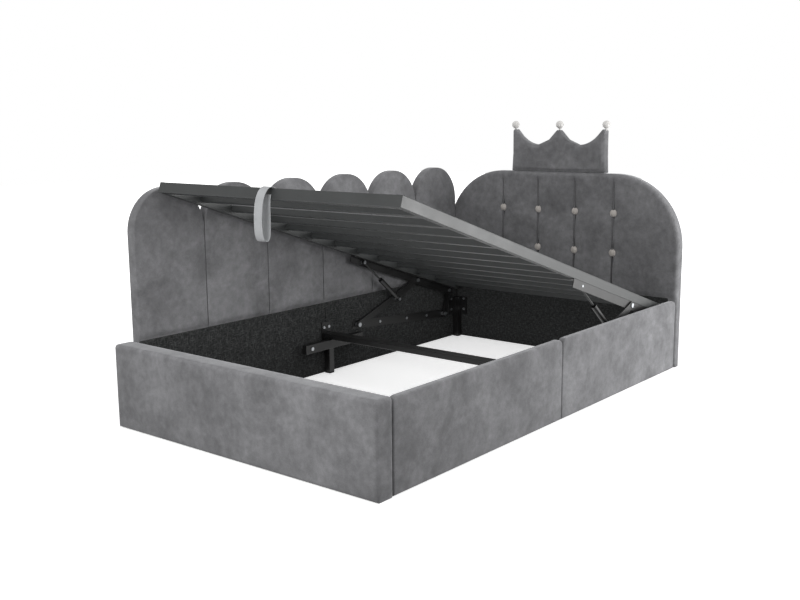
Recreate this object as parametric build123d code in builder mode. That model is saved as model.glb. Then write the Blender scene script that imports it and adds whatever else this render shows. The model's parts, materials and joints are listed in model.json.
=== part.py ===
"""Upholstered storage day bed with a lift-up slatted frame, shown open.

Millimetres. +X runs from the footboard to the headboard, -Y is the open front
side with the low rail, +Y the wall side with the scalloped back board, +Z is up.
The origin is on the floor under the centre of the whole bed.
"""
import os
from math import atan2, cos, degrees, hypot, radians, sin, tan

from build123d import *

os.makedirs("parts", exist_ok=True)

# Driving dimensions of the upholstered box
CLEAR_LENGTH = 2030          # between footboard and headboard, for a 2000 mattress
CLEAR_WIDTH = 1200           # between front rail and back board
FOOT_THICKNESS = 84
FOOT_HEIGHT = 320
RAIL_THICKNESS = 28
RAIL_HEIGHT = 314
BACK_THICKNESS = 52
BACK_HEIGHT = 892
HEAD_THICKNESS = 53
HEAD_HEIGHT = 877
HEAD_CORNER = 328
LINING_HEIGHT = 321
CHANNELS_PER_HALF = 3
PANEL_GAP = 2                # shadow gap between neighbouring panels
SEAM_GAP = 1.2               # pinch between two padded channels
SEAM_DEPTH = 12              # how far a seam is drawn in behind the crown of its pads
SCREW_HEAD = 2.5
CROWN_PLATE = 2.5

# Places that follow from them
HALF_LENGTH = (FOOT_THICKNESS + CLEAR_LENGTH + HEAD_THICKNESS + CROWN_PLATE + SCREW_HEAD) / 2
HALF_WIDTH = (RAIL_THICKNESS + CLEAR_WIDTH + BACK_THICKNESS) / 2
FOOT_INNER = -HALF_LENGTH + FOOT_THICKNESS
HEAD_INNER = FOOT_INNER + CLEAR_LENGTH
HEAD_BACK = HEAD_INNER + HEAD_THICKNESS
JOINT_X = (FOOT_INNER + HEAD_INNER) / 2
FRONT_INNER = -HALF_WIDTH + RAIL_THICKNESS
BACK_INNER = HALF_WIDTH - BACK_THICKNESS
MID_Y = (FRONT_INNER + BACK_INNER) / 2
CHANNEL = CLEAR_LENGTH / 2 / CHANNELS_PER_HALF
DOME = CHANNEL / 2 - SEAM_GAP / 2
SPRING_LINE = BACK_HEIGHT - DOME

# Headboard seams, buttons and crown
SEAM_PITCH = 204
BUTTON_ROWS = (506, 693)
BUTTON_RADIUS = 18
CROWN_WIDTH = 515
CROWN_THICKNESS = 44
CROWN_TIP = 1083
CROWN_VALLEY = 1013
CROWN_VALLEY_Y = 110
PEARL_RADIUS = 19
PEARL_STEM = 5

# Lift frame, held at its open angle
FRAME_LENGTH = 1980
FRAME_WIDTH = 1160
FRAME_TILT = 18.23
FRAME_FOOT = (-889, 914)     # x and z of the upper foot edge when open
TUBE_WIDTH = 25
RAIL_DEPTH = 40
SLAT_DEPTH = 25
TUBE_WALL = 1.5
SLAT_COUNT = 11
SLAT_PITCH = 158

# Lift mechanism: pivots as x and z, or as distances along the frame
ARM_PIVOT = (225, 187)
SHORT_PIVOT = (900, 135)
ARM_ON_FRAME = 1657
SHORT_ON_FRAME = 1937
STRUT_ON_FRAME = 1210
PIVOT_DROP = 56              # pivots below the top of the frame
STRUT_ON_ARM = 285
STRUT_OFFSET = 9             # strut stud below the arm's centre line
BASE_BOLTS_X = (270, 392, 598, 761, 932)
ARM_BAR = 32
ARM_PLATE = 5
STEEL = 3
OPEN_PIVOT_SLACK = 4.5       # the linkage is held by four of its five pivots
STRUT_SLACK = 6.3

# Distances of the mechanism's layers from the bed's middle plane
RAIL_LAYER = (FRAME_WIDTH / 2 - TUBE_WIDTH, FRAME_WIDTH / 2)
UPPER_LAYER = (FRAME_WIDTH / 2 - STEEL, FRAME_WIDTH / 2)
ARM_LAYER = (FRAME_WIDTH / 2 + 1.5, FRAME_WIDTH / 2 + 1.5 + ARM_PLATE)
BASE_LAYER = (CLEAR_WIDTH / 2 - STEEL, CLEAR_WIDTH / 2)
STRUT_CENTRE = UPPER_LAYER[0] - 12


def save(piece, name):
    """Label one finished piece and write it as its own file."""
    piece.label = name
    export_step(piece, "parts/" + name + ".step")


def layer(side, limits):
    """Sketch plane facing the front, and its thickness, for one side's layer."""
    outer = MID_Y + max(side * limits[0], side * limits[1])
    plane = Plane(origin=(0, outer, 0), x_dir=(1, 0, 0), z_dir=(0, -1, 0))
    return plane, abs(limits[1] - limits[0])


def on_frame(along, drop):
    """x and z of a point on the open lift frame, from its upper foot edge."""
    tilt = radians(FRAME_TILT)
    x = FRAME_FOOT[0] + along * cos(tilt) - drop * sin(tilt)
    z = FRAME_FOOT[1] - along * sin(tilt) - drop * cos(tilt)
    return (x, z)


def between(start, end, along, aside=0):
    """Point on the line from start to end, moved aside to its right."""
    reach = hypot(end[0] - start[0], end[1] - start[1])
    ux = (end[0] - start[0]) / reach
    uz = (end[1] - start[1]) / reach
    return (start[0] + ux * along + uz * aside, start[1] + uz * along - ux * aside)


ARM_TOP = on_frame(ARM_ON_FRAME, PIVOT_DROP)
SHORT_TOP = on_frame(SHORT_ON_FRAME, PIVOT_DROP)
STRUT_TOP = on_frame(STRUT_ON_FRAME, PIVOT_DROP)
STRUT_FOOT = between(ARM_PIVOT, ARM_TOP, STRUT_ON_ARM, STRUT_OFFSET)


# Footboard: a timber ladder frame inside a padded velvet cover
FOOT_PAD = 12
FOOT_EDGE = 14
LADDER_MEMBER = 45
core_depth = FOOT_THICKNESS - 2 * FOOT_PAD
core_width = 2 * HALF_WIDTH - 2 * FOOT_PAD
core_height = FOOT_HEIGHT - FOOT_PAD
foot_mid = -HALF_LENGTH + FOOT_THICKNESS / 2

with BuildPart() as footboard_core:
    with Locations((foot_mid, 0, core_height / 2)):
        Box(core_depth, core_width, core_height)
    bay = (core_width - 5 * LADDER_MEMBER) / 4
    with Locations((foot_mid, 0, core_height / 2)):
        with GridLocations(1, bay + LADDER_MEMBER, 1, 4):
            Box(core_depth, bay, core_height - 2 * LADDER_MEMBER, mode=Mode.SUBTRACT)
save(footboard_core.part, "footboard_core")

with BuildPart() as footboard_cover:
    with Locations((foot_mid, 0, FOOT_HEIGHT / 2)):
        Box(FOOT_THICKNESS, 2 * HALF_WIDTH, FOOT_HEIGHT)
    upper_edges = footboard_cover.faces().sort_by(Axis.Z)[-1].edges()
    corner_edges = footboard_cover.edges().filter_by(Axis.Z)
    fillet(upper_edges + corner_edges, FOOT_EDGE)
    with Locations((foot_mid, 0, core_height / 2)):
        Box(core_depth, core_width, core_height, mode=Mode.SUBTRACT)
save(footboard_cover.part, "footboard_cover")


# Front rail: two equal padded panels, each with its own board
RAIL_CORNER = 26
RAIL_EDGE = 7
RAIL_BOARD = 15
RAIL_BACKING = 5
half_panel = CLEAR_LENGTH / 2 - PANEL_GAP
board_y = FRONT_INNER - RAIL_BACKING - RAIL_BOARD / 2


def rail_outline(plane, mid_x, length, height, corner):
    """Panel outline on a plane that faces the front, with rounded upper corners."""
    with BuildSketch(plane) as outline:
        with Locations((mid_x, height / 2)):
            Rectangle(length, height)
        fillet(outline.vertices().group_by(Axis.Y)[-1], corner)
    return outline.sketch


for end, mid_x in (("foot", (FOOT_INNER + JOINT_X) / 2), ("head", (JOINT_X + HEAD_INNER) / 2)):
    with BuildPart() as rail_core:
        facing = Plane(origin=(0, board_y + RAIL_BOARD / 2, 0), x_dir=(1, 0, 0), z_dir=(0, -1, 0))
        board_face = rail_outline(facing, mid_x, half_panel - 16, RAIL_HEIGHT - 8, RAIL_CORNER - 8)
        extrude(board_face, amount=RAIL_BOARD)
    save(rail_core.part, "front_rail_core_" + end)

    with BuildPart() as rail_cover:
        facing = Plane(origin=(0, FRONT_INNER, 0), x_dir=(1, 0, 0), z_dir=(0, -1, 0))
        extrude(rail_outline(facing, mid_x, half_panel, RAIL_HEIGHT, RAIL_CORNER), amount=RAIL_THICKNESS)
        front_face = rail_cover.faces().sort_by(Axis.Y)[0]
        back_face = rail_cover.faces().sort_by(Axis.Y)[-1]
        rim = front_face.edges() + back_face.edges()
        fillet([edge for edge in rim if edge.center().Z > 1], RAIL_EDGE)
        add(rail_core.part, mode=Mode.SUBTRACT)
    save(rail_cover.part, "front_rail_cover_" + end)


# Back board: two halves of three domed channels over a scalloped plywood board
BACK_PLY = 24
BACK_SKIN = 3
PLY_INSET = 9
PAD_EDGE = 9
LINING_THICKNESS = 10


def channel_section(mid_x, level, whole):
    """Crowned section of one channel; half of it, from its middle, for the dome."""
    crown_y = BACK_INNER
    seam_y = BACK_INNER + SEAM_DEPTH
    left = mid_x - DOME if whole else mid_x
    with BuildSketch(Plane.XY.offset(level)) as section:
        with BuildLine():
            if whole:
                ThreePointArc((mid_x - DOME, seam_y), (mid_x, crown_y), (mid_x + DOME, seam_y))
            else:
                sag = SEAM_DEPTH / 4
                ThreePointArc((mid_x, crown_y), (mid_x + DOME / 2, crown_y + sag), (mid_x + DOME, seam_y))
            Polyline((mid_x + DOME, seam_y), (mid_x + DOME, HALF_WIDTH), (left, HALF_WIDTH),
                     (left, seam_y if whole else crown_y))
        make_face()
        outer = section.vertices().filter_by(lambda v: abs(v.Y - seam_y) < 0.01)
        fillet([v for v in outer if abs(v.X - mid_x) > 1], PAD_EDGE)
    return section.sketch


for end, start_x in (("foot", FOOT_INNER), ("head", JOINT_X)):
    mids = [start_x + CHANNEL * (n + 0.5) for n in range(CHANNELS_PER_HALF)]
    panel_mid = start_x + CLEAR_LENGTH / 4
    ply_y = HALF_WIDTH - BACK_SKIN

    with BuildPart() as back_core:
        with BuildSketch(Plane(origin=(0, ply_y, 0), x_dir=(1, 0, 0), z_dir=(0, -1, 0))):
            with Locations((panel_mid, SPRING_LINE / 2)):
                Rectangle(half_panel - 2 * PLY_INSET, SPRING_LINE)
            with Locations(*[(mid, SPRING_LINE) for mid in mids]):
                Circle(DOME - PLY_INSET)
        extrude(amount=BACK_PLY)
    save(back_core.part, "back_board_core_" + end)

    with BuildPart() as back_cover:
        for mid in mids:
            extrude(channel_section(mid, 0, True), amount=SPRING_LINE)
            dome_axis = Axis((mid, 0, SPRING_LINE), (0, -1, 0))
            revolve(channel_section(mid, SPRING_LINE, False), axis=dome_axis, revolution_arc=180)
        add(back_core.part, mode=Mode.SUBTRACT)
        with Locations((panel_mid, BACK_INNER, LINING_HEIGHT / 2)):
            Box(half_panel + 2 * PANEL_GAP, 2 * LINING_THICKNESS, LINING_HEIGHT, mode=Mode.SUBTRACT)
    save(back_cover.part, "back_board_cover_" + end)

    with BuildPart() as back_lining:
        with Locations((panel_mid, BACK_INNER + LINING_THICKNESS / 2, LINING_HEIGHT / 2)):
            Box(half_panel, LINING_THICKNESS, LINING_HEIGHT)
        front_top = back_lining.edges().filter_by(Axis.X).group_by(Axis.Z)[-1].sort_by(Axis.Y)[0]
        fillet(front_top, 3)
    save(back_lining.part, "back_lining_" + end)


# Headboard: five upright panels on plywood, drawn in at four seams and tufted
HEAD_PLY = 22
HEAD_SKIN = 2
HEAD_EDGE = 16
HEAD_INSET = 12
TUFT_RADIUS = 70
TUFT_DEPTH = 9
seams = [SEAM_PITCH * (n - 1.5) for n in range(4)]
panel_limits = [-HALF_WIDTH] + seams + [HALF_WIDTH]
buttons = [(y, z) for z in BUTTON_ROWS for y in seams]
button_seat = HEAD_INNER + SEAM_DEPTH + TUFT_DEPTH
BUTTON_RIM = 4
BUTTON_HEIGHT = 13


def head_outline(plane, inset, corner):
    """Headboard outline on a plane facing the bed, upper corners rounded."""
    with BuildSketch(plane) as outline:
        with Locations((0, (HEAD_HEIGHT - inset) / 2)):
            Rectangle(2 * (HALF_WIDTH - inset), HEAD_HEIGHT - inset)
        fillet(outline.vertices().group_by(Axis.Y)[-1], corner)
    return outline.sketch


with BuildPart() as headboard_core:
    ply_front = HEAD_BACK - HEAD_SKIN - HEAD_PLY
    facing = Plane(origin=(ply_front, 0, 0), x_dir=(0, 1, 0), z_dir=(1, 0, 0))
    extrude(head_outline(facing, HEAD_INSET, HEAD_CORNER - HEAD_INSET), amount=HEAD_PLY)
save(headboard_core.part, "headboard_core")

with BuildPart() as head_block:
    facing = Plane(origin=(HEAD_INNER, 0, 0), x_dir=(0, 1, 0), z_dir=(1, 0, 0))
    extrude(head_outline(facing, 0, HEAD_CORNER), amount=HEAD_THICKNESS)
    front_rim = head_block.faces().sort_by(Axis.X)[0].edges()
    fillet([edge for edge in front_rim if edge.center().Z > 1], HEAD_EDGE)

with BuildPart() as headboard_cover:
    for low, high in zip(panel_limits, panel_limits[1:]):
        y_low = low + (SEAM_GAP / 2 if low > -HALF_WIDTH else 0)
        y_high = high - (SEAM_GAP / 2 if high < HALF_WIDTH else 0)
        x_low = HEAD_INNER + (SEAM_DEPTH if low > -HALF_WIDTH else 0)
        x_high = HEAD_INNER + (SEAM_DEPTH if high < HALF_WIDTH else 0)
        crown = ((y_low + y_high) / 2) if low > -HALF_WIDTH and high < HALF_WIDTH else None
        with BuildSketch(Plane.XY) as upright:
            with BuildLine():
                if crown is not None:
                    ThreePointArc((x_low, y_low), (HEAD_INNER, crown), (x_high, y_high))
                elif low > -HALF_WIDTH:
                    TangentArc((HEAD_INNER, y_high - 160), (x_low, y_low), tangent=(0, -1))
                    Line((HEAD_INNER, y_high - 160), (HEAD_INNER, y_high))
                else:
                    TangentArc((HEAD_INNER, y_low + 160), (x_high, y_high), tangent=(0, 1))
                    Line((HEAD_INNER, y_low + 160), (HEAD_INNER, y_low))
                Polyline((x_high, y_high), (HEAD_BACK, y_high), (HEAD_BACK, y_low), (x_low, y_low))
            make_face()
        pad = extrude(upright.sketch, amount=HEAD_HEIGHT, mode=Mode.PRIVATE)
        add(pad & head_block.part)
    with Locations(*[(button_seat - TUFT_RADIUS, y, z) for y, z in buttons]):
        Sphere(TUFT_RADIUS, mode=Mode.SUBTRACT)
    with Locations(*[(button_seat - 3, y, z) for y, z in buttons]):
        Cylinder(BUTTON_RADIUS + 0.3, 6, rotation=(0, 90, 0), mode=Mode.SUBTRACT)
    add(headboard_core.part, mode=Mode.SUBTRACT)
save(headboard_cover.part, "headboard_cover")


with BuildPart() as headboard_buttons:
    for y, z in buttons:
        with BuildSketch(Plane(origin=(button_seat, y, z), x_dir=(0, 1, 0), z_dir=(0, 0, 1))) as half:
            with BuildLine():
                ThreePointArc((0, BUTTON_HEIGHT), (13, BUTTON_HEIGHT - 3), (BUTTON_RADIUS, BUTTON_RIM))
                Polyline((BUTTON_RADIUS, BUTTON_RIM), (BUTTON_RADIUS - 2, 0), (0, 0), (0, BUTTON_HEIGHT))
            make_face()
        revolve(half.sketch, axis=Axis((button_seat, y, z), (1, 0, 0)))
save(headboard_buttons.part, "headboard_buttons")


# Crown: a padded plywood silhouette that stands on the headboard
CROWN_EDGE = 9
CROWN_PLY = 12
CROWN_INSET = 10
TIP_ROUND = 8.5
PEAK_ROUND = 11
OUTER_SLOPE = 44
crown_foot = HEAD_HEIGHT + 1
crown_back = HEAD_BACK
crown_mid = crown_back - CROWN_THICKNESS / 2
tip_y = CROWN_WIDTH / 2 - TIP_ROUND


def valley_end(valley, top, angle):
    """Where the round valley turns into the straight slope that climbs to top."""
    run = abs(top[0] - valley[0])
    rise = top[1] - valley[1]
    radius = (run * tan(angle) - rise) / (1 / cos(angle) - 1)
    side = 1 if top[0] > valley[0] else -1
    return (valley[0] + side * radius * sin(angle), valley[1] + radius * (1 - cos(angle)))


def crown_outline(plane, inset):
    """Three-pointed outline: upright sides, round valleys, rounded tips."""
    half = CROWN_WIDTH / 2 - inset
    foot = crown_foot + inset
    tip = CROWN_TIP - 1.4 * inset
    peak = (0, tip + PEAK_ROUND * 0.41)
    slope = radians(OUTER_SLOPE)
    round_mid = half - TIP_ROUND
    with BuildSketch(plane) as outline:
        with BuildLine():
            Line((-half, foot), (half, foot))
            for side in (-1, 1):
                valley = (side * CROWN_VALLEY_Y, CROWN_VALLEY - inset)
                leave = (side * (round_mid - TIP_ROUND * sin(slope)), tip - TIP_ROUND * (1 - cos(slope)))
                Line((side * half, foot), (side * half, tip - TIP_ROUND))
                ThreePointArc((side * half, tip - TIP_ROUND), (side * round_mid, tip), leave)
                outer_end = valley_end(valley, leave, slope)
                Line(leave, outer_end)
                TangentArc(valley, outer_end, tangent=(side, 0))
                inner_end = valley_end(valley, peak, radians(45))
                TangentArc(valley, inner_end, tangent=(-side, 0))
                Line(inner_end, peak)
        make_face()
        fillet(outline.vertices().sort_by(Axis.Y)[-1], PEAK_ROUND)
    return outline.sketch


with BuildPart() as crown_core:
    facing = Plane(origin=(crown_mid - CROWN_PLY / 2, 0, 0), x_dir=(0, 1, 0), z_dir=(1, 0, 0))
    extrude(crown_outline(facing, CROWN_INSET), amount=CROWN_PLY)
save(crown_core.part, "crown_core")

with BuildPart() as crown_cover:
    facing = Plane(origin=(crown_back - CROWN_THICKNESS, 0, 0), x_dir=(0, 1, 0), z_dir=(1, 0, 0))
    extrude(crown_outline(facing, 0), amount=CROWN_THICKNESS)
    front_rim = crown_cover.faces().sort_by(Axis.X)[0].edges()
    fillet([edge for edge in front_rim if edge.center().Z > crown_foot + 1], CROWN_EDGE)
    add(crown_core.part, mode=Mode.SUBTRACT)
    with Locations(*[(crown_mid, y, CROWN_TIP) for y in (-tip_y, 0, tip_y)]):
        Cylinder(PEARL_STEM, 16, mode=Mode.SUBTRACT)
save(crown_cover.part, "crown_cover")

with BuildPart() as crown_pearls:
    for y in (-tip_y, 0, tip_y):
        with Locations((crown_mid, y, CROWN_TIP + 1 + PEARL_RADIUS)):
            Sphere(PEARL_RADIUS)
        with Locations((crown_mid, y, CROWN_TIP)):
            Cylinder(PEARL_STEM, 16)
save(crown_pearls.part, "crown_pearls")

PLATE_WIDTH = 30
PLATE_REACH = 90
with BuildPart() as crown_plates:
    for y in (-150, 150):
        with Locations((HEAD_BACK + CROWN_PLATE / 2, y, crown_foot)):
            Box(CROWN_PLATE, PLATE_WIDTH, 2 * PLATE_REACH)
        plate_edges = crown_plates.edges().filter_by(Axis.X).filter_by(lambda e: abs(e.center().Y - y) < 20)
        fillet(plate_edges, 6)
save(crown_plates.part, "crown_plates")

with BuildPart() as crown_screws:
    for y in (-150, 150):
        for z in (-70, -30, 30, 70):
            screw_place = (HEAD_BACK + CROWN_PLATE, y, crown_foot + z)
            with BuildSketch(Plane(origin=screw_place, x_dir=(0, 1, 0), z_dir=(1, 0, 0))):
                Circle(5)
            extrude(amount=SCREW_HEAD, taper=20)
save(crown_screws.part, "crown_screws")


# Legs, corner angles and the steel that ties the two halves of the box together
LEG = 30
LEG_WALL = 2
LEG_TOP = 210
GLIDE = 6
ANGLE_PLATE = 4
ANGLE_LENGTH = 68
ANGLE_BOTTOM = 120
LEG_LAYER = (CLEAR_WIDTH / 2 - ANGLE_PLATE - LEG, CLEAR_WIDTH / 2 - ANGLE_PLATE)
leg_mid = sum(LEG_LAYER) / 2
CENTRE_LEG_TOP = 162
BAR_LENGTH = 376
BAR_HEIGHT = 40
BAR_DEPTH = 24
BAR_BOLT_X = 150
CROSSBAR_WIDTH = 50
CROSSBAR_DEPTH = 25
BOLT_HEAD = 7
BOLT_RISE = 3

with BuildPart() as corner_legs:
    for end, inner in ((-1, FOOT_INNER), (1, HEAD_INNER)):
        for side in (-1, 1):
            board = MID_Y + side * CLEAR_WIDTH / 2
            leg_x = inner - end * (ANGLE_PLATE + LEG / 2)
            leg_y = MID_Y + side * leg_mid
            mid_height = (ANGLE_BOTTOM + LEG_TOP) / 2
            with Locations((leg_x, leg_y, (GLIDE + LEG_TOP) / 2)):
                Box(LEG, LEG, LEG_TOP - GLIDE)
            with Locations((inner - end * ANGLE_LENGTH / 2, board - side * ANGLE_PLATE / 2, mid_height)):
                Box(ANGLE_LENGTH, ANGLE_PLATE, LEG_TOP - ANGLE_BOTTOM)
            with Locations((inner - end * ANGLE_PLATE / 2, board - side * ANGLE_LENGTH / 2, mid_height)):
                Box(ANGLE_PLATE, ANGLE_LENGTH, LEG_TOP - ANGLE_BOTTOM)
            with Locations((leg_x, leg_y, (GLIDE + LEG_TOP) / 2 - 3)):
                Box(LEG - 2 * LEG_WALL, LEG - 2 * LEG_WALL, LEG_TOP - GLIDE - 6, mode=Mode.SUBTRACT)
            with Locations((leg_x, leg_y, GLIDE + 8)):
                Box(LEG - 2 * LEG_WALL, LEG - 2 * LEG_WALL, 16, mode=Mode.SUBTRACT)
save(corner_legs.part, "corner_legs")

with BuildPart() as centre_legs:
    for side in (-1, 1):
        leg_y = MID_Y + side * leg_mid
        with Locations((JOINT_X, leg_y, (GLIDE + CENTRE_LEG_TOP) / 2)):
            Box(LEG, LEG, CENTRE_LEG_TOP - GLIDE)
        with Locations((JOINT_X, MID_Y + side * (CLEAR_WIDTH / 2 - ANGLE_PLATE / 2), 191)):
            Box(58, ANGLE_PLATE, 82)
        with Locations((JOINT_X, leg_y, (GLIDE + CENTRE_LEG_TOP) / 2 - 3)):
            Box(LEG - 2 * LEG_WALL, LEG - 2 * LEG_WALL, CENTRE_LEG_TOP - GLIDE - 6, mode=Mode.SUBTRACT)
        with Locations((JOINT_X, leg_y, GLIDE + 8)):
            Box(LEG - 2 * LEG_WALL, LEG - 2 * LEG_WALL, 16, mode=Mode.SUBTRACT)
save(centre_legs.part, "centre_legs")

leg_places = [(JOINT_X, MID_Y + side * leg_mid) for side in (-1, 1)]
for end, inner in ((-1, FOOT_INNER), (1, HEAD_INNER)):
    leg_places += [(inner - end * (ANGLE_PLATE + LEG / 2), MID_Y + side * leg_mid) for side in (-1, 1)]

with BuildPart() as leg_glides:
    with Locations(*[(x, y, GLIDE / 2) for x, y in leg_places]):
        Box(LEG + 2, LEG + 2, GLIDE)
    fillet(leg_glides.edges().filter_by(Axis.Z), 4)
    with Locations(*[(x, y, GLIDE + 5) for x, y in leg_places]):
        Box(LEG - 2 * LEG_WALL, LEG - 2 * LEG_WALL, 10)
save(leg_glides.part, "leg_glides")

bar_mid = LEG_LAYER[0] - BAR_DEPTH / 2
with BuildPart() as joint_bars:
    for side in (-1, 1):
        with Locations((JOINT_X, MID_Y + side * bar_mid, CENTRE_LEG_TOP - BAR_HEIGHT / 2)):
            Box(BAR_LENGTH, BAR_DEPTH, BAR_HEIGHT)
    fillet(joint_bars.edges().filter_by(Axis.X), 2)
    bolt_height = CENTRE_LEG_TOP - BAR_HEIGHT / 2
    with Locations(*[(JOINT_X + x, MID_Y, bolt_height) for x in (-BAR_BOLT_X, BAR_BOLT_X)]):
        Cylinder(5, CLEAR_WIDTH, rotation=(90, 0, 0), mode=Mode.SUBTRACT)
save(joint_bars.part, "joint_bars")

with BuildPart() as crossbar:
    span = CLEAR_WIDTH - 2 * ANGLE_PLATE
    with BuildSketch(Plane(origin=(JOINT_X, MID_Y + span / 2, CENTRE_LEG_TOP + CROSSBAR_DEPTH / 2),
                           x_dir=(1, 0, 0), z_dir=(0, -1, 0))):
        RectangleRounded(CROSSBAR_WIDTH, CROSSBAR_DEPTH, 3)
        RectangleRounded(CROSSBAR_WIDTH - 3, CROSSBAR_DEPTH - 3, 1.5, mode=Mode.SUBTRACT)
    extrude(amount=span)
save(crossbar.part, "crossbar")


# Lift mechanism, fixed side: base rails, studs and spacer bushes on the boards
STUD = 6
STUD_HEAD = 10
STUD_HEAD_LAYER = (ARM_LAYER[0] - 4.3, ARM_LAYER[0] - 0.3)
BUSH_LAYER = (ARM_LAYER[1] + 0.3, BASE_LAYER[0])
BUSH_RADIUS = 10.5
RUNNING_FIT = 0.05
BASE_RAIL_WIDTH = 40
BASE_RAIL_END = 30
rail_reach = hypot(SHORT_PIVOT[0] - ARM_PIVOT[0], SHORT_PIVOT[1] - ARM_PIVOT[1])
rail_angle = degrees(atan2(SHORT_PIVOT[1] - ARM_PIVOT[1], SHORT_PIVOT[0] - ARM_PIVOT[0]))
rail_slope = cos(radians(rail_angle))
base_bolts = [between(ARM_PIVOT, SHORT_PIVOT, (x - ARM_PIVOT[0]) / rail_slope) for x in BASE_BOLTS_X]


def disc(side, limits, centre, radius, hole=0):
    """Round head, bush or shank through one side's layer."""
    plane, thickness = layer(side, limits)
    with BuildSketch(plane) as face:
        with Locations(centre):
            Circle(radius)
            if hole > 0:
                Circle(hole, mode=Mode.SUBTRACT)
    return extrude(face.sketch, amount=thickness, mode=Mode.PRIVATE)


def hexagon(side, limits, centre, radius):
    """Hexagonal bolt head through one side's layer."""
    plane, thickness = layer(side, limits)
    with BuildSketch(plane) as face:
        with Locations(centre):
            RegularPolygon(radius, 6)
    return extrude(face.sketch, amount=thickness, mode=Mode.PRIVATE)


for side, place in ((-1, "front"), (1, "back")):
    with BuildPart() as base_rail:
        plane, thickness = layer(side, BASE_LAYER)
        with BuildSketch(plane):
            with Locations(between(ARM_PIVOT, SHORT_PIVOT, rail_reach / 2)):
                RectangleRounded(rail_reach + 2 * BASE_RAIL_END, BASE_RAIL_WIDTH, 8, rotation=rail_angle)
            with Locations(ARM_PIVOT, SHORT_PIVOT):
                Circle(STUD, mode=Mode.SUBTRACT)
            with Locations(*base_bolts):
                Circle(4, mode=Mode.SUBTRACT)
        extrude(amount=thickness)
    save(base_rail.part, "base_rail_" + place)

with BuildPart() as base_pivot_studs:
    for side in (-1, 1):
        for pivot in (ARM_PIVOT, SHORT_PIVOT):
            add(disc(side, (STUD_HEAD_LAYER[0], BASE_LAYER[1]), pivot, STUD))
            add(disc(side, STUD_HEAD_LAYER, pivot, STUD_HEAD))
save(base_pivot_studs.part, "base_pivot_studs")

with BuildPart() as pivot_bushes:
    for side in (-1, 1):
        for pivot in (ARM_PIVOT, SHORT_PIVOT):
            add(disc(side, BUSH_LAYER, pivot, BUSH_RADIUS, STUD))
save(pivot_bushes.part, "pivot_bushes")

with BuildPart() as panel_bolts:
    for side in (-1, 1):
        for place in base_bolts:
            add(disc(side, BASE_LAYER, place, 4))
            add(hexagon(side, (BASE_LAYER[0] - BOLT_RISE, BASE_LAYER[0]), place, BOLT_HEAD))
        plate_face = CLEAR_WIDTH / 2 - ANGLE_PLATE
        for x in (JOINT_X - 16, JOINT_X + 16):
            add(hexagon(side, (plate_face - BOLT_RISE, plate_face), (x, 210), BOLT_HEAD))
        for end, inner in ((-1, FOOT_INNER), (1, HEAD_INNER)):
            for z in (145, 200):
                x = inner - end * (ANGLE_LENGTH + ANGLE_PLATE + LEG) / 2
                add(hexagon(side, (plate_face - BOLT_RISE, plate_face), (x, z), BOLT_HEAD))
                y = MID_Y + side * (CLEAR_WIDTH / 2 - (ANGLE_LENGTH + ANGLE_PLATE + LEG) / 2)
                face = Plane(origin=(inner - end * ANGLE_PLATE, y, z), x_dir=(0, 1, 0), z_dir=(-end, 0, 0))
                with BuildSketch(face) as head:
                    RegularPolygon(BOLT_HEAD, 6)
                extrude(head.sketch, amount=BOLT_RISE)
save(panel_bolts.part, "panel_bolts")

with BuildPart() as bar_bolts:
    for side in (-1, 1):
        for x in (JOINT_X - BAR_BOLT_X, JOINT_X + BAR_BOLT_X):
            place = (x, CENTRE_LEG_TOP - BAR_HEIGHT / 2)
            inner = LEG_LAYER[0] - BAR_DEPTH
            add(hexagon(side, (inner - BOLT_RISE, inner), place, 9))
            add(disc(side, (inner, CLEAR_WIDTH / 2), place, 5))
            add(disc(side, (LEG_LAYER[0], CLEAR_WIDTH / 2), place, 9))
save(bar_bolts.part, "bar_bolts")


# Lift mechanism, moving side: long arms, short arms and the gas struts between
EYE_THICKNESS = 10
EYE_LAYER = (STRUT_CENTRE - EYE_THICKNESS / 2, STRUT_CENTRE + EYE_THICKNESS / 2)
EYE_RADIUS = 10
STRUT_STUD = 5
COLLAR = 8
CAP_LAYER = (EYE_LAYER[0] - 4, EYE_LAYER[0] - 0.5)
SHORT_BAR = 30
OPEN_PIN = 5
arm_reach = hypot(ARM_TOP[0] - ARM_PIVOT[0], ARM_TOP[1] - ARM_PIVOT[1])
arm_angle = degrees(atan2(ARM_TOP[1] - ARM_PIVOT[1], ARM_TOP[0] - ARM_PIVOT[0]))
short_reach = hypot(SHORT_TOP[0] - SHORT_PIVOT[0], SHORT_TOP[1] - SHORT_PIVOT[1])
short_angle = degrees(atan2(SHORT_TOP[1] - SHORT_PIVOT[1], SHORT_TOP[0] - SHORT_PIVOT[0]))

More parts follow.
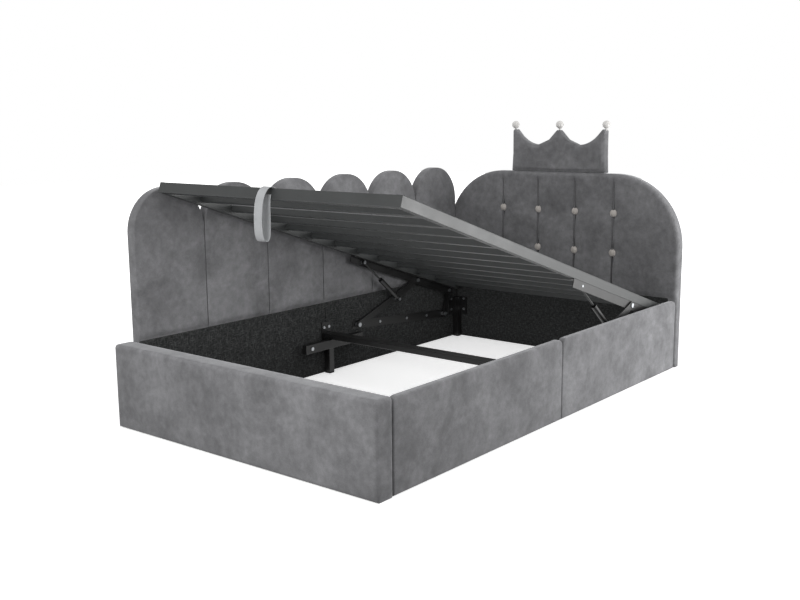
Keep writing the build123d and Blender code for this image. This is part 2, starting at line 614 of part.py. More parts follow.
for side, place in ((-1, "front"), (1, "back")):
    with BuildPart() as long_arm:
        plane, thickness = layer(side, ARM_LAYER)
        with BuildSketch(plane):
            with Locations(between(ARM_PIVOT, ARM_TOP, arm_reach / 2)):
                SlotCenterToCenter(arm_reach, ARM_BAR, rotation=arm_angle)
            with Locations(STRUT_FOOT):
                Circle(12)
            with Locations(ARM_PIVOT, ARM_TOP):
                Circle(STUD + RUNNING_FIT, mode=Mode.SUBTRACT)
            with Locations(STRUT_FOOT):
                Circle(STRUT_STUD, mode=Mode.SUBTRACT)
        extrude(amount=thickness)
    save(long_arm.part, "long_arm_" + place)

    with BuildPart() as short_arm:
        plane, thickness = layer(side, ARM_LAYER)
        with BuildSketch(plane):
            with Locations(between(SHORT_PIVOT, SHORT_TOP, short_reach / 2)):
                SlotCenterToCenter(short_reach, SHORT_BAR, rotation=short_angle)
            with Locations(SHORT_PIVOT):
                Circle(STUD + RUNNING_FIT, mode=Mode.SUBTRACT)
            with Locations(SHORT_TOP):
                Circle(OPEN_PIN + OPEN_PIVOT_SLACK, mode=Mode.SUBTRACT)
        extrude(amount=thickness)
    save(short_arm.part, "short_arm_" + place)

with BuildPart() as strut_studs_lower:
    for side in (-1, 1):
        add(disc(side, (CAP_LAYER[0], ARM_LAYER[1]), STRUT_FOOT, STRUT_STUD))
        add(disc(side, CAP_LAYER, STRUT_FOOT, COLLAR))
        add(disc(side, (EYE_LAYER[1] + 0.5, ARM_LAYER[0]), STRUT_FOOT, COLLAR))
save(strut_studs_lower.part, "strut_studs_lower")

strut_reach = hypot(STRUT_TOP[0] - STRUT_FOOT[0], STRUT_TOP[1] - STRUT_FOOT[1])
strut_dir = ((STRUT_TOP[0] - STRUT_FOOT[0]) / strut_reach, 0, (STRUT_TOP[1] - STRUT_FOOT[1]) / strut_reach)
ROD = 4
ROD_LENGTH = 215
CYLINDER = 11.5
CYLINDER_START = 26
CYLINDER_END = 176

for side, place in ((-1, "front"), (1, "back")):
    strut_y = MID_Y + side * STRUT_CENTRE
    along = (Align.CENTER, Align.CENTER, Align.MIN)

    with BuildPart() as gas_cylinder:
        strut_start = (STRUT_FOOT[0], strut_y, STRUT_FOOT[1])
        with Locations(Plane(origin=strut_start, x_dir=(0, 1, 0), z_dir=strut_dir)):
            with Locations((0, 0, EYE_RADIUS - 1)):
                Cylinder(6, CYLINDER_START, align=along)
            with Locations((0, 0, CYLINDER_START)):
                Cylinder(CYLINDER, CYLINDER_END - CYLINDER_START, align=along)
            with Locations((0, 0, CYLINDER_START + 4)):
                Cylinder(ROD + STRUT_SLACK, CYLINDER_END, align=along, mode=Mode.SUBTRACT)
        add(disc(side, EYE_LAYER, STRUT_FOOT, EYE_RADIUS))
        add(disc(side, EYE_LAYER, STRUT_FOOT, STRUT_STUD + RUNNING_FIT), mode=Mode.SUBTRACT)
        circles = gas_cylinder.edges().filter_by(GeomType.CIRCLE)
        ends = circles.filter_by(lambda e: abs(e.radius - CYLINDER) < 0.01)
        fillet(ends.sort_by_distance(strut_start)[0], 3)
    save(gas_cylinder.part, "gas_cylinder_" + place)

    with BuildPart() as gas_rod:
        back_dir = (-strut_dir[0], 0, -strut_dir[2])
        with Locations(Plane(origin=(STRUT_TOP[0], strut_y, STRUT_TOP[1]), x_dir=(0, 1, 0), z_dir=back_dir)):
            with Locations((0, 0, EYE_RADIUS - 2)):
                Cylinder(ROD, ROD_LENGTH - EYE_RADIUS + 2, align=along)
                Cylinder(6, 14, align=along)
        add(disc(side, EYE_LAYER, STRUT_TOP, EYE_RADIUS - 1))
        add(disc(side, EYE_LAYER, STRUT_TOP, STRUT_STUD + RUNNING_FIT), mode=Mode.SUBTRACT)
    save(gas_rod.part, "gas_rod_" + place)


# Slatted lift frame of square and rectangular tube, in its own tilted plane
frame_plane = Plane(
    origin=(FRAME_FOOT[0], MID_Y, FRAME_FOOT[1]),
    x_dir=(cos(radians(FRAME_TILT)), 0, -sin(radians(FRAME_TILT))),
    z_dir=(sin(radians(FRAME_TILT)), 0, cos(radians(FRAME_TILT))),
)
cross_length = FRAME_WIDTH - 2 * TUBE_WIDTH
TUBE_CORNER = 2.5
UPPER_RAIL = (1130, 1955)
UPPER_FLANGE = 35


def cross_tube(along, width, depth):
    """Open-ended tube across the frame, its near edge at a distance from the foot."""
    section = Plane(
        origin=frame_plane.from_local_coords((along + width / 2, cross_length / 2, -depth / 2)),
        x_dir=frame_plane.x_dir,
        z_dir=-frame_plane.y_dir,
    )
    with BuildSketch(section) as walls:
        RectangleRounded(width, depth, TUBE_CORNER)
        bore = (width - 2 * TUBE_WALL, depth - 2 * TUBE_WALL)
        RectangleRounded(*bore, TUBE_CORNER - TUBE_WALL, mode=Mode.SUBTRACT)
    return extrude(walls.sketch, amount=cross_length, mode=Mode.PRIVATE)


for side, place in ((-1, "front"), (1, "back")):
    with BuildPart(frame_plane) as frame_side:
        rail_y = side * (FRAME_WIDTH - TUBE_WIDTH) / 2
        with Locations((FRAME_LENGTH / 2, rail_y, -RAIL_DEPTH / 2)):
            Box(FRAME_LENGTH, TUBE_WIDTH, RAIL_DEPTH)
        long_edges = frame_side.edges().filter_by(lambda e: abs(e.length - FRAME_LENGTH) < 0.1)
        fillet(long_edges, TUBE_CORNER)
        with Locations((FRAME_LENGTH / 2, rail_y, -RAIL_DEPTH / 2)):
            bore = (TUBE_WIDTH - 2 * TUBE_WALL, RAIL_DEPTH - 2 * TUBE_WALL)
            Box(FRAME_LENGTH - 2 * TUBE_WALL, *bore, mode=Mode.SUBTRACT)
        with Locations((60, rail_y, -RAIL_DEPTH)):
            Cylinder(3, 8, mode=Mode.SUBTRACT)
    save(frame_side.part, "frame_side_" + place)

    with BuildPart() as upper_rail:
        facing = Plane(
            origin=frame_plane.from_local_coords((UPPER_RAIL[0], 0, 0)),
            x_dir=frame_plane.y_dir,
            z_dir=frame_plane.x_dir,
        )
        outer = side * FRAME_WIDTH / 2
        with BuildSketch(facing):
            with Locations((outer - side * STEEL / 2, -RAIL_DEPTH - UPPER_FLANGE / 2)):
                Rectangle(STEEL, UPPER_FLANGE)
            with Locations((outer - side * TUBE_WIDTH / 2, -RAIL_DEPTH - STEEL / 2)):
                Rectangle(TUBE_WIDTH, STEEL)
        extrude(amount=UPPER_RAIL[1] - UPPER_RAIL[0])
        for pivot, radius in ((ARM_TOP, STUD), (SHORT_TOP, OPEN_PIN), (STRUT_TOP, STRUT_STUD)):
            add(disc(side, (UPPER_LAYER[0] - 1, UPPER_LAYER[1] + 1), pivot, radius), mode=Mode.SUBTRACT)
    save(upper_rail.part, "upper_rail_" + place)

with BuildPart() as frame_foot_rail:
    add(cross_tube(0, TUBE_WIDTH, RAIL_DEPTH))
save(frame_foot_rail.part, "frame_foot_rail")

with BuildPart() as frame_head_rail:
    add(cross_tube(FRAME_LENGTH - TUBE_WIDTH, TUBE_WIDTH, SLAT_DEPTH))
save(frame_head_rail.part, "frame_head_rail")

first_slat = (FRAME_LENGTH - (SLAT_COUNT - 1) * SLAT_PITCH) / 2 - TUBE_WIDTH / 2
for number in range(SLAT_COUNT):
    with BuildPart() as slat:
        add(cross_tube(first_slat + number * SLAT_PITCH, TUBE_WIDTH, SLAT_DEPTH))
    save(slat.part, "slat_%02d" % (number + 1))

PIN_HEAD_OUT = (ARM_LAYER[1] + 0.4, ARM_LAYER[1] + 3.5)
PIN_HEAD_IN = (UPPER_LAYER[0] - 4, UPPER_LAYER[0])
with BuildPart() as frame_pivot_pins:
    for side in (-1, 1):
        for pivot, radius, head in ((ARM_TOP, STUD, 10), (SHORT_TOP, OPEN_PIN, 14)):
            add(disc(side, (PIN_HEAD_IN[0], PIN_HEAD_OUT[1]), pivot, radius))
            add(disc(side, PIN_HEAD_IN, pivot, 9))
            add(disc(side, PIN_HEAD_OUT, pivot, head))
save(frame_pivot_pins.part, "frame_pivot_pins")

with BuildPart() as strut_studs_upper:
    for side in (-1, 1):
        add(disc(side, (CAP_LAYER[0], UPPER_LAYER[1]), STRUT_TOP, STRUT_STUD))
        add(disc(side, CAP_LAYER, STRUT_TOP, COLLAR))
        add(disc(side, (EYE_LAYER[1] + 0.5, UPPER_LAYER[0]), STRUT_TOP, COLLAR))
save(strut_studs_upper.part, "strut_studs_upper")


# Pull strap: one length of webbing looped at the middle of the foot rail
STRAP_WIDTH = 40
STRAP_THICKNESS = 3
strap_points = [(-865.6, 908.2), (-905, 923.3), (-930, 885), (-941.5, 848), (-946, 800), (-940, 738),
                (-908, 734), (-904.4, 800), (-904.4, 872), (-898.6, 892)]
strap_bends = [20, 25, 60, 60, 16, 16, 60, 30]

with BuildPart() as pull_strap:
    with BuildLine(Plane(origin=(0, MID_Y, 0), x_dir=(1, 0, 0), z_dir=(0, -1, 0))) as loop:
        FilletPolyline(*strap_points, radius=strap_bends)
    path = loop.wires()[0]
    with BuildSketch(Plane(origin=path @ 0, x_dir=(0, 1, 0), z_dir=path % 0)):
        Rectangle(STRAP_WIDTH, STRAP_THICKNESS)
    sweep(path=path)
save(pull_strap.part, "pull_strap")
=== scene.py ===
"""Looks for the upholstered storage day bed with its slatted frame standing open.

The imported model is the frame: steel pieces keep their solids and take a finish,
and every upholstered piece is built here as padding under cloth.
"""

import json
import math

import bmesh
import bpy
from bpy.props import FloatProperty, FloatVectorProperty, IntProperty, PointerProperty
from mathutils import Matrix, Vector, noise


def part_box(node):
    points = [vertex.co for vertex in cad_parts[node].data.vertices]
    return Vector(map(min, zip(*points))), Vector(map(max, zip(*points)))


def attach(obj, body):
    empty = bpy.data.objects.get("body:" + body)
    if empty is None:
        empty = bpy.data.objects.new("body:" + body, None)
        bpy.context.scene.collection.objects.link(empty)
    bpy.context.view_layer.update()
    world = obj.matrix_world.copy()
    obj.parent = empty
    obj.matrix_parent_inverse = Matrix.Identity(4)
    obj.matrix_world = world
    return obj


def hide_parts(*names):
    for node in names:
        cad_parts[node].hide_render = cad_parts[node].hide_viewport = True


bl_info = {
    "name": "Storage day bed",
    "version": (1, 0, 0),
    "blender": (4, 5, 0),
    "location": "View3D > Sidebar > Day bed",
    "description": "Builds the upholstery, finishes and stage of a lift-up storage day bed",
    "category": "Object",
}

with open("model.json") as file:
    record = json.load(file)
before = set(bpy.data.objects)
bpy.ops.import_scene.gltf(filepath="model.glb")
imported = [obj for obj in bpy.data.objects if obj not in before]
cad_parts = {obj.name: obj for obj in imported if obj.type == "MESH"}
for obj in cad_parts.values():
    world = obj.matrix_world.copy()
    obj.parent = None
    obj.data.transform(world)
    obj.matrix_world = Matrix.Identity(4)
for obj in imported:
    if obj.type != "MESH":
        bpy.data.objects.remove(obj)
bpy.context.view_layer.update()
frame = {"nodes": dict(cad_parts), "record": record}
NODES = frame["nodes"]
MM = 0.001


def linear(hex_colour):
    """Linear red, green and blue of an sRGB hex colour."""
    parts = [int(hex_colour[n:n + 2], 16) / 255 for n in (1, 3, 5)]
    return [c / 12.92 if c <= 0.04045 else ((c + 0.055) / 1.055) ** 2.4 for c in parts]


def shade(colour, factor):
    """A colour made darker or lighter, with full alpha."""
    return [min(1.0, c * factor) for c in colour[:3]] + [1.0]


# Corners of three covers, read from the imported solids
FOOT_LOW, FOOT_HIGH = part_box("footboard_cover")
HEAD_LOW, HEAD_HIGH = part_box("headboard_cover")
CROWN_LOW, CROWN_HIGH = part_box("crown_cover")

# Sizes in metres, and the white of the studio
SEAM_GAP = 5 * MM
PANEL_GAP = 0.0012
LINING_TOP = 0.321
# Half width of the dark sheet of painted shade on the headboard's lower inside
SHADE_CLOTH_HALF_WIDTH = 0.598
BUTTON_PITCH = 0.204
BUTTON_HEIGHTS = (0.506, 0.693)
WHITE = (1.0, 1.0, 1.0, 1.0)


class DayBedSizes(bpy.types.PropertyGroup):
    """Sizes of the upholstery that a user would change."""

    foam_edge: FloatProperty(
        name="Foam edge", description="Rounding of the footboard's padded edges",
        default=14 * MM, min=0.002, max=0.03, subtype="DISTANCE", unit="LENGTH")
    rail_edge: FloatProperty(
        name="Rail edge", description="Rounding of the front rail's thin padding",
        default=7 * MM, min=0.002, max=0.014, subtype="DISTANCE", unit="LENGTH")
    channel_edge: FloatProperty(
        name="Channel edge", description="Rounding at the rim of each back channel",
        default=8 * MM, min=0.003, max=0.02, subtype="DISTANCE", unit="LENGTH")
    head_edge: FloatProperty(
        name="Headboard edge", description="Rounding at the rim of the headboard",
        default=17 * MM, min=0.004, max=0.03, subtype="DISTANCE", unit="LENGTH")
    seam_depth: FloatProperty(
        name="Seam depth", description="How far a seam is drawn in behind its pads",
        default=9 * MM, min=0.0, max=0.02, subtype="DISTANCE", unit="LENGTH")
    tuft_depth: FloatProperty(
        name="Tuft depth", description="How far a button is drawn in behind its seam",
        default=8 * MM, min=0.0, max=0.012, subtype="DISTANCE", unit="LENGTH")
    mesh_step: FloatProperty(
        name="Mesh step", description="Size of the faces on the upholstery",
        default=13 * MM, min=0.006, max=0.04, subtype="DISTANCE", unit="LENGTH")
    crown_steps: IntProperty(
        name="Crown steps", description="Cloth steps that swell the crown's cover",
        default=16, min=0, max=40)


class DayBedColours(bpy.types.PropertyGroup):
    """Colours of the cloth and steel that a user would change."""

    velvet: FloatVectorProperty(
        name="Velvet", description="Short-pile velvet of every padded panel",
        default=linear("#7e7e80"), min=0, max=1, subtype="COLOR", size=3)
    lining: FloatVectorProperty(
        name="Lining", description="Coarse dark cloth on the inside of the back",
        default=linear("#3a3b3b"), min=0, max=1, subtype="COLOR", size=3)
    frame_coat: FloatVectorProperty(
        name="Frame coat", description="Powder coat of the slatted frame",
        default=linear("#353737"), min=0, max=1, subtype="COLOR", size=3)
    black_coat: FloatVectorProperty(
        name="Black coat", description="Powder coat of the legs and the linkage",
        default=linear("#131313"), min=0, max=1, subtype="COLOR", size=3)
    button: FloatVectorProperty(
        name="Button", description="Satin of the headboard buttons",
        default=linear("#c9c3bd"), min=0, max=1, subtype="COLOR", size=3)
    pearl: FloatVectorProperty(
        name="Pearl", description="Lacquer of the balls on the crown",
        default=linear("#e9e7e4"), min=0, max=1, subtype="COLOR", size=3)
    webbing: FloatVectorProperty(
        name="Webbing", description="Polyester webbing of the pull strap",
        default=linear("#b2b4b6"), min=0, max=1, subtype="COLOR", size=3)


def add_node(tree, kind, inputs=None, **settings):
    """Add one shader node, set its properties, and set or join its inputs."""
    made = tree.nodes.new(kind)
    for name, value in settings.items():
        setattr(made, name, value)
    for name, value in (inputs or {}).items():
        socket = made.inputs[name]
        if isinstance(value, bpy.types.NodeSocket):
            tree.links.new(value, socket)
        else:
            socket.default_value = value
    return made


def noise_node(tree, place, scale, detail, **inputs):
    """Grey noise over a place, by its scale per metre and its detail."""
    return add_node(tree, "ShaderNodeTexNoise",
                    {"Vector": place, "Scale": scale, "Detail": detail, **inputs})


def bump_node(tree, strength, distance, height):
    """Relief from a grey height, by its share and its depth in metres."""
    return add_node(tree, "ShaderNodeBump", {"Strength": strength, "Distance": distance, "Height": height})


def overlay(tree, amount, tone, grey):
    """A tone made lighter and darker by a grey pattern."""
    made = add_node(tree, "ShaderNodeMix", {0: amount, 6: tone, 7: grey}, data_type="RGBA",
                    blend_type="OVERLAY")
    return made.outputs[2]


def new_finish(name):
    """A fresh material with an empty node tree and its output node."""
    finish = bpy.data.materials.new(name)
    finish.use_nodes = True
    finish.node_tree.nodes.clear()
    output = add_node(finish.node_tree, "ShaderNodeOutputMaterial")
    return finish, finish.node_tree, output


def ramp(tree, factor, stops):
    """Colour ramp on a factor, from a list of places and colours."""
    made = add_node(tree, "ShaderNodeValToRGB", {"Fac": factor})
    elements = made.color_ramp.elements
    for n, (place, colour) in enumerate(stops):
        element = elements[n] if n < 2 else elements.new(place)
        element.position = place
        element.color = colour
    return made.outputs["Color"]


def short_pile_velvet(colours):
    """Polyester velvet, brushed by hand: soft clouds where the pile lies differently."""
    finish, tree, output = new_finish("velvet_short_pile_woven")
    place = add_node(tree, "ShaderNodeTexCoord").outputs["Object"]
    # Clouds of brushed pile, about 170 mm across, with hand strokes 25 mm across in them
    clouds = noise_node(tree, place, 6.0, 6.0, Roughness=0.6, Distortion=0.5)
    tone = ramp(tree, clouds.outputs["Fac"], [
        (0.34, shade(colours.velvet, 0.76)), (0.52, shade(colours.velvet, 1.0)),
        (0.68, shade(colours.velvet, 1.24))])
    strokes = noise_node(tree, place, 38.0, 3.0, Roughness=0.6)
    brushed = overlay(tree, 0.35, tone, strokes.outputs["Fac"])
    # Tufts of pile are 0.4 mm apart, drawn at 3 mm so that they still show
    pile = noise_node(tree, place, 330.0, 2.0, Roughness=0.7)
    fleck = overlay(tree, 0.25, brushed, pile.outputs["Fac"])
    nap = bump_node(tree, 0.25, 0.0012, pile.outputs["Fac"])
    drape = add_node(tree, "ShaderNodeBump",
                     {"Strength": 0.15, "Distance": 0.006, "Height": clouds.outputs["Fac"],
                      "Normal": nap.outputs["Normal"]})
    cloth = add_node(tree, "ShaderNodeBsdfPrincipled",
                     {"Base Color": fleck, "Roughness": 0.88, "IOR": 1.45,
                      "Specular IOR Level": 0.2, "Sheen Weight": 0.55, "Sheen Roughness": 0.35,
                      "Normal": drape.outputs["Normal"]})
    cloth.inputs["Sheen Tint"].default_value = (0.85, 0.86, 0.88, 1.0)
    tree.links.new(cloth.outputs["BSDF"], output.inputs["Surface"])
    return finish


def melange_lining(colours):
    """Coarse linen-look weave of dark and pale yarns, glued flat to the board."""
    finish, tree, output = new_finish("linen_look_melange_woven")
    place = add_node(tree, "ShaderNodeTexCoord").outputs["Object"]
    # Yarns are 1.2 mm apart and are drawn at 3.3 mm, long one way and short the other
    weft = add_node(tree, "ShaderNodeMapping",
                    {"Vector": place, "Scale": (60.0, 60.0, 300.0)}).outputs["Vector"]
    warp = add_node(tree, "ShaderNodeMapping",
                    {"Vector": place, "Scale": (300.0, 300.0, 60.0)}).outputs["Vector"]
    across = noise_node(tree, weft, 1.0, 1.5)
    upward = noise_node(tree, warp, 1.0, 1.5)
    yarns = add_node(tree, "ShaderNodeMath", {0: across.outputs["Fac"], 1: upward.outputs["Fac"]},
                     operation="MAXIMUM")
    tone = ramp(tree, yarns.outputs["Value"], [
        (0.44, shade(colours.lining, 0.5)), (0.58, shade(colours.lining, 1.0)),
        (0.74, shade(colours.lining, 2.0))])
    weave = bump_node(tree, 0.4, 0.0015, yarns.outputs["Value"])
    cloth = add_node(tree, "ShaderNodeBsdfPrincipled",
                     {"Base Color": tone, "Roughness": 0.92, "IOR": 1.45, "Specular IOR Level": 0.2,
                      "Normal": weave.outputs["Normal"]})
    tree.links.new(cloth.outputs["BSDF"], output.inputs["Surface"])
    return finish


def powder_coat(name, colour, roughness, wear):
    """Baked powder coat on steel: faint orange peel, slightly dusty, dull gloss."""
    finish, tree, output = new_finish(name)
    place = add_node(tree, "ShaderNodeTexCoord").outputs["Object"]
    # Orange peel is about 1 mm across and drawn at 2.5 mm
    peel = noise_node(tree, place, 400.0, 1.0)
    dust = noise_node(tree, place, 9.0, 4.0, Roughness=0.6)
    tone = ramp(tree, dust.outputs["Fac"],
                [(0.35, shade(colour, 1.0 - wear)), (0.70, shade(colour, 1.0 + wear))])
    dull = ramp(tree, dust.outputs["Fac"], [
        (0.3, [roughness * 0.9] * 3 + [1.0]), (0.7, [min(1.0, roughness * 1.15)] * 3 + [1.0])])
    skin = bump_node(tree, 0.08, 0.0006, peel.outputs["Fac"])
    paint = add_node(tree, "ShaderNodeBsdfPrincipled",
                     {"Base Color": tone, "Roughness": dull, "IOR": 1.5, "Normal": skin.outputs["Normal"]})
    tree.links.new(paint.outputs["BSDF"], output.inputs["Surface"])
    return finish


def zinc_plate():
    """Bright zinc plating on turned studs and hexagon bolts, with fine turning marks."""
    finish, tree, output = new_finish("zinc_plated_steel")
    place = add_node(tree, "ShaderNodeTexCoord").outputs["Object"]
    marks = noise_node(tree, place, 220.0, 3.0)
    dull = ramp(tree, marks.outputs["Fac"],
                [(0.3, (0.26, 0.26, 0.26, 1.0)), (0.7, (0.42, 0.42, 0.42, 1.0))])
    metal = add_node(tree, "ShaderNodeBsdfPrincipled", {"Metallic": 1.0, "Roughness": dull})
    metal.inputs["Base Color"].default_value = linear("#b9bcbf") + [1.0]
    tree.links.new(metal.outputs["BSDF"], output.inputs["Surface"])
    return finish


def birch_plywood():
    """Birch plywood of the boards inside the padding, with long pale grain."""
    finish, tree, output = new_finish("birch_plywood_sanded")
    place = add_node(tree, "ShaderNodeTexCoord").outputs["Object"]
    grain = add_node(tree, "ShaderNodeMapping",
                     {"Vector": place, "Scale": (4.0, 60.0, 60.0)}).outputs["Vector"]
    rings = noise_node(tree, grain, 1.5, 6.0)
    tone = ramp(tree, rings.outputs["Fac"], [
        (0.35, linear("#a9825a") + [1.0]), (0.65, linear("#cfb08a") + [1.0])])
    wood = add_node(tree, "ShaderNodeBsdfPrincipled", {"Base Color": tone, "Roughness": 0.62, "IOR": 1.5})
    tree.links.new(wood.outputs["BSDF"], output.inputs["Surface"])
    return finish


def pearl_lacquer(colours):
    """Beech ball under pearl lacquer: pale, smooth, with a soft clear coat."""
    finish, tree, output = new_finish("pearl_lacquer_on_ball")
    place = add_node(tree, "ShaderNodeTexCoord").outputs["Object"]
    cloud = noise_node(tree, place, 45.0, 2.0)
    tone = ramp(tree, cloud.outputs["Fac"],
                [(0.3, shade(colours.pearl, 0.94)), (0.7, shade(colours.pearl, 1.02))])
    lacquer = add_node(tree, "ShaderNodeBsdfPrincipled",
                       {"Base Color": tone, "Roughness": 0.34, "IOR": 1.5, "Coat Weight": 0.4,
                        "Coat Roughness": 0.12})
    tree.links.new(lacquer.outputs["BSDF"], output.inputs["Surface"])
    return finish


def button_satin(colours):
    """Satin drawn over a button form: close weave with a silky highlight."""
    finish, tree, output = new_finish("satin_covered_button")
    place = add_node(tree, "ShaderNodeTexCoord").outputs["Object"]
    # Threads are 0.3 mm apart and are drawn at 1.7 mm
    thread = noise_node(tree, place, 600.0, 1.0)
    soft = noise_node(tree, place, 60.0, 2.0)
    tone = ramp(tree, soft.outputs["Fac"],
                [(0.3, shade(colours.button, 0.86)), (0.7, shade(colours.button, 1.05))])
    weave = bump_node(tree, 0.15, 0.0005, thread.outputs["Fac"])
    cloth = add_node(tree, "ShaderNodeBsdfPrincipled",
                     {"Base Color": tone, "Roughness": 0.5, "IOR": 1.5, "Sheen Weight": 0.2,
                      "Sheen Roughness": 0.4, "Normal": weave.outputs["Normal"]})
    tree.links.new(cloth.outputs["BSDF"], output.inputs["Surface"])
    return finish


def strap_webbing(colours):
    """Polyester webbing: ribs across its width and a faint sheen."""
    finish, tree, output = new_finish("polyester_webbing_ribbed")
    place = add_node(tree, "ShaderNodeTexCoord").outputs["UV"]
    # One rib every 2 mm along the strap
    ribs = add_node(tree, "ShaderNodeTexWave",
                    {"Vector": place, "Scale": 160.0, "Distortion": 0.4, "Detail": 1.0},
                    wave_type="BANDS", bands_direction="X")
    mottle = noise_node(tree, place, 30.0, 3.0)
    tone = ramp(tree, ribs.outputs["Fac"],
                [(0.2, shade(colours.webbing, 0.80)), (0.8, shade(colours.webbing, 1.08))])
    fleck = overlay(tree, 0.18, tone, mottle.outputs["Fac"])
    relief = bump_node(tree, 0.4, 0.0008, ribs.outputs["Fac"])
    cloth = add_node(tree, "ShaderNodeBsdfPrincipled",
                     {"Base Color": fleck, "Roughness": 0.6, "IOR": 1.5, "Sheen Weight": 0.3,
                      "Sheen Roughness": 0.35, "Normal": relief.outputs["Normal"]})
    tree.links.new(cloth.outputs["BSDF"], output.inputs["Surface"])
    return finish


def seam_shade_thread(colours):
    """Bonded polyester thread, darkened below the velvet as painted shade in the drawn-in seams of the back
    and the headboard.
    """
    finish, tree, output = new_finish("bonded_polyester_thread")
    place = add_node(tree, "ShaderNodeTexCoord").outputs["Object"]
    twist = noise_node(tree, place, 500.0, 1.0)
    # Thread at 0.45 to 0.75 of the velvet's colour: the seam's own thread with painted shade in it
    tone = ramp(tree, twist.outputs["Fac"],
                [(0.3, shade(colours.velvet, 0.45)), (0.7, shade(colours.velvet, 0.75))])
    thread = add_node(tree, "ShaderNodeBsdfPrincipled", {"Base Color": tone, "Roughness": 0.65, "IOR": 1.5})
    tree.links.new(thread.outputs["BSDF"], output.inputs["Surface"])
    return finish


def finish_named(start):
    """The finish whose name starts with these words."""
    return next(m for m in bpy.data.materials if m.name.startswith(start))


def make_object(mesh_data, name, finish, body, nodes=()):
    """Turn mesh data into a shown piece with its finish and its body."""
    mesh = bpy.data.meshes.new(name)
    mesh_data.to_mesh(mesh)
    mesh_data.free()
    piece = bpy.data.objects.new(name, mesh)
    bpy.context.scene.collection.objects.link(piece)
    mesh.materials.append(finish)
    mesh.shade_smooth()
    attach(piece, body)
    if nodes:
        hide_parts(*nodes)
    return piece


def spread(low, high, step):
    """Even places from low to high, no further apart than step."""
    count = max(1, math.ceil((high - low) / step - 1e-6))
    return [low + (high - low) * n / count for n in range(count + 1)]


def with_seams(places, seams, offsets):
    """Places made denser on both sides of each seam."""
    low, high = places[0], places[-1]
    close = [s + side * o for s in seams for o in offsets for side in (-1, 1)]
    kept = [p for p in places if all(abs(p - s) > offsets[-1] * 1.15 for s in seams)]
    merged = sorted(p for p in kept + close + [low, high] if low - 1e-9 <= p <= high + 1e-9)
    return [p for n, p in enumerate(merged) if n == 0 or p - merged[n - 1] > 1e-5]


def smooth_step(low, high, value):
    """0 below low, 1 above high and a smooth rise between."""
    t = min(1.0, max(0.0, (value - low) / (high - low)))
    return t * t * (3 - 2 * t)


def lay_grid(mesh_data, rows):
    """Faces over rows of points."""
    made = [[mesh_data.verts.new(p) for p in row] for row in rows]
    for low, high in zip(made, made[1:]):
        for n in range(len(low) - 1):
            mesh_data.faces.new((low[n], low[n + 1], high[n + 1], high[n]))


def upright_pad(mesh_data, place, half, height, corner, depth, edge, back_edge, relief, step, columns=None,
                rows=None):
    """A closed upright panel with rounded upper corners, padded on its front.

    place turns distances across, up and out into a point, and relief gives how
    far the front stands proud of its even depth at a point across and up.
    """
    inner = half - corner
    reach = max(corner - edge, 0.0)
    if columns is None:
        columns = spread(-inner, inner, step)
    if rows is None:
        rows = spread(edge, height - corner, step)
    rows = [max(edge, min(height - corner, r)) for r in rows]
    rings = spread(0.0, reach, step) if reach > 1e-6 else [0.0]
    turns = spread(0.0, math.pi / 2, min(0.35, step / corner))
    top = height - corner

    for face in (lambda a, b: place(a, b, depth + relief(a, b)), lambda a, b: place(a, b, 0.0)):
        if inner > 1e-6:
            lay_grid(mesh_data, [[face(a, b) for a in columns] for b in rows])
            if reach > 1e-6:
                lay_grid(mesh_data, [[face(a, top + r) for a in columns] for r in rings])
        if reach > 1e-6:
            for side in (-1, 1):
                lay_grid(mesh_data, [[face(side * (inner + r), b) for r in rings] for b in rows])
                fan = [[face(side * (inner + r * math.cos(t)), top + r * math.sin(t)) for r in rings]
                       for t in turns]
                lay_grid(mesh_data, fan)

    # Stations round the rim at the inner edge of the rounding, each with its outward direction
    far = inner + reach
    stations = [(-far, b, -1.0, 0.0) for b in rows]
    stations += [(-inner - reach * math.cos(t), top + reach * math.sin(t), -math.cos(t), math.sin(t))
                 for t in turns[1:]]
    if inner > 1e-6:
        stations += [(a, top + reach, 0.0, 1.0) for a in columns[1:]]
    stations += [(inner + reach * math.cos(t), top + reach * math.sin(t), math.cos(t), math.sin(t))
                 for t in reversed(turns[:-1])]
    if inner <= 1e-6:
        stations = [s for n, s in enumerate(stations) if n == 0 or s[:2] != stations[n - 1][:2]]
    stations += [(far, b, 1.0, 0.0) for b in reversed(rows[:-1])]
    stations[0] = (-far, rows[0], -1.0, -1.0)
    stations[-1] = (far, rows[0], 1.0, -1.0)
    if reach > 1e-6:
        stations += [(inner + r, rows[0], 0.0, -1.0) for r in reversed(rings[:-1])]
    if inner > 1e-6:
        stations += [(a, rows[0], 0.0, -1.0) for a in reversed(columns[:-1])]
    if reach > 1e-6:
        stations += [(-inner - r, rows[0], 0.0, -1.0) for r in rings[1:-1]]
    elif inner > 1e-6:
        stations = stations[:-1]
    stations.append(stations[0])

    profile = []
    for turn in spread(0.0, math.pi / 2, math.radians(18)):
        profile.append((edge * math.sin(turn), depth - edge * (1 - math.cos(turn)), math.cos(turn)))
    for level in spread(back_edge, depth - edge, step)[-2:0:-1]:
        profile.append((edge, level, 0.0))
    for turn in spread(0.0, math.pi / 2, math.radians(30)):
        profile.append((edge - back_edge * (1 - math.cos(turn)), back_edge * (1 - math.sin(turn)), 0.0))
    profile.append((0.0, 0.0, 0.0))
    ring_rows = []
    for out, level, share in profile:
        ring_rows.append([
            place(a + na * out, b + nb * out, level + relief(a, b) * share) for a, b, na, nb in stations])
    lay_grid(mesh_data, ring_rows)


def close_up(mesh_data):
    """Weld the patches of a pad into one closed skin that faces outwards."""
    bmesh.ops.remove_doubles(mesh_data, verts=mesh_data.verts, dist=2e-6)
    bmesh.ops.dissolve_degenerate(mesh_data, dist=1e-7, edges=mesh_data.edges)
    bmesh.ops.recalc_face_normals(mesh_data, faces=mesh_data.faces)


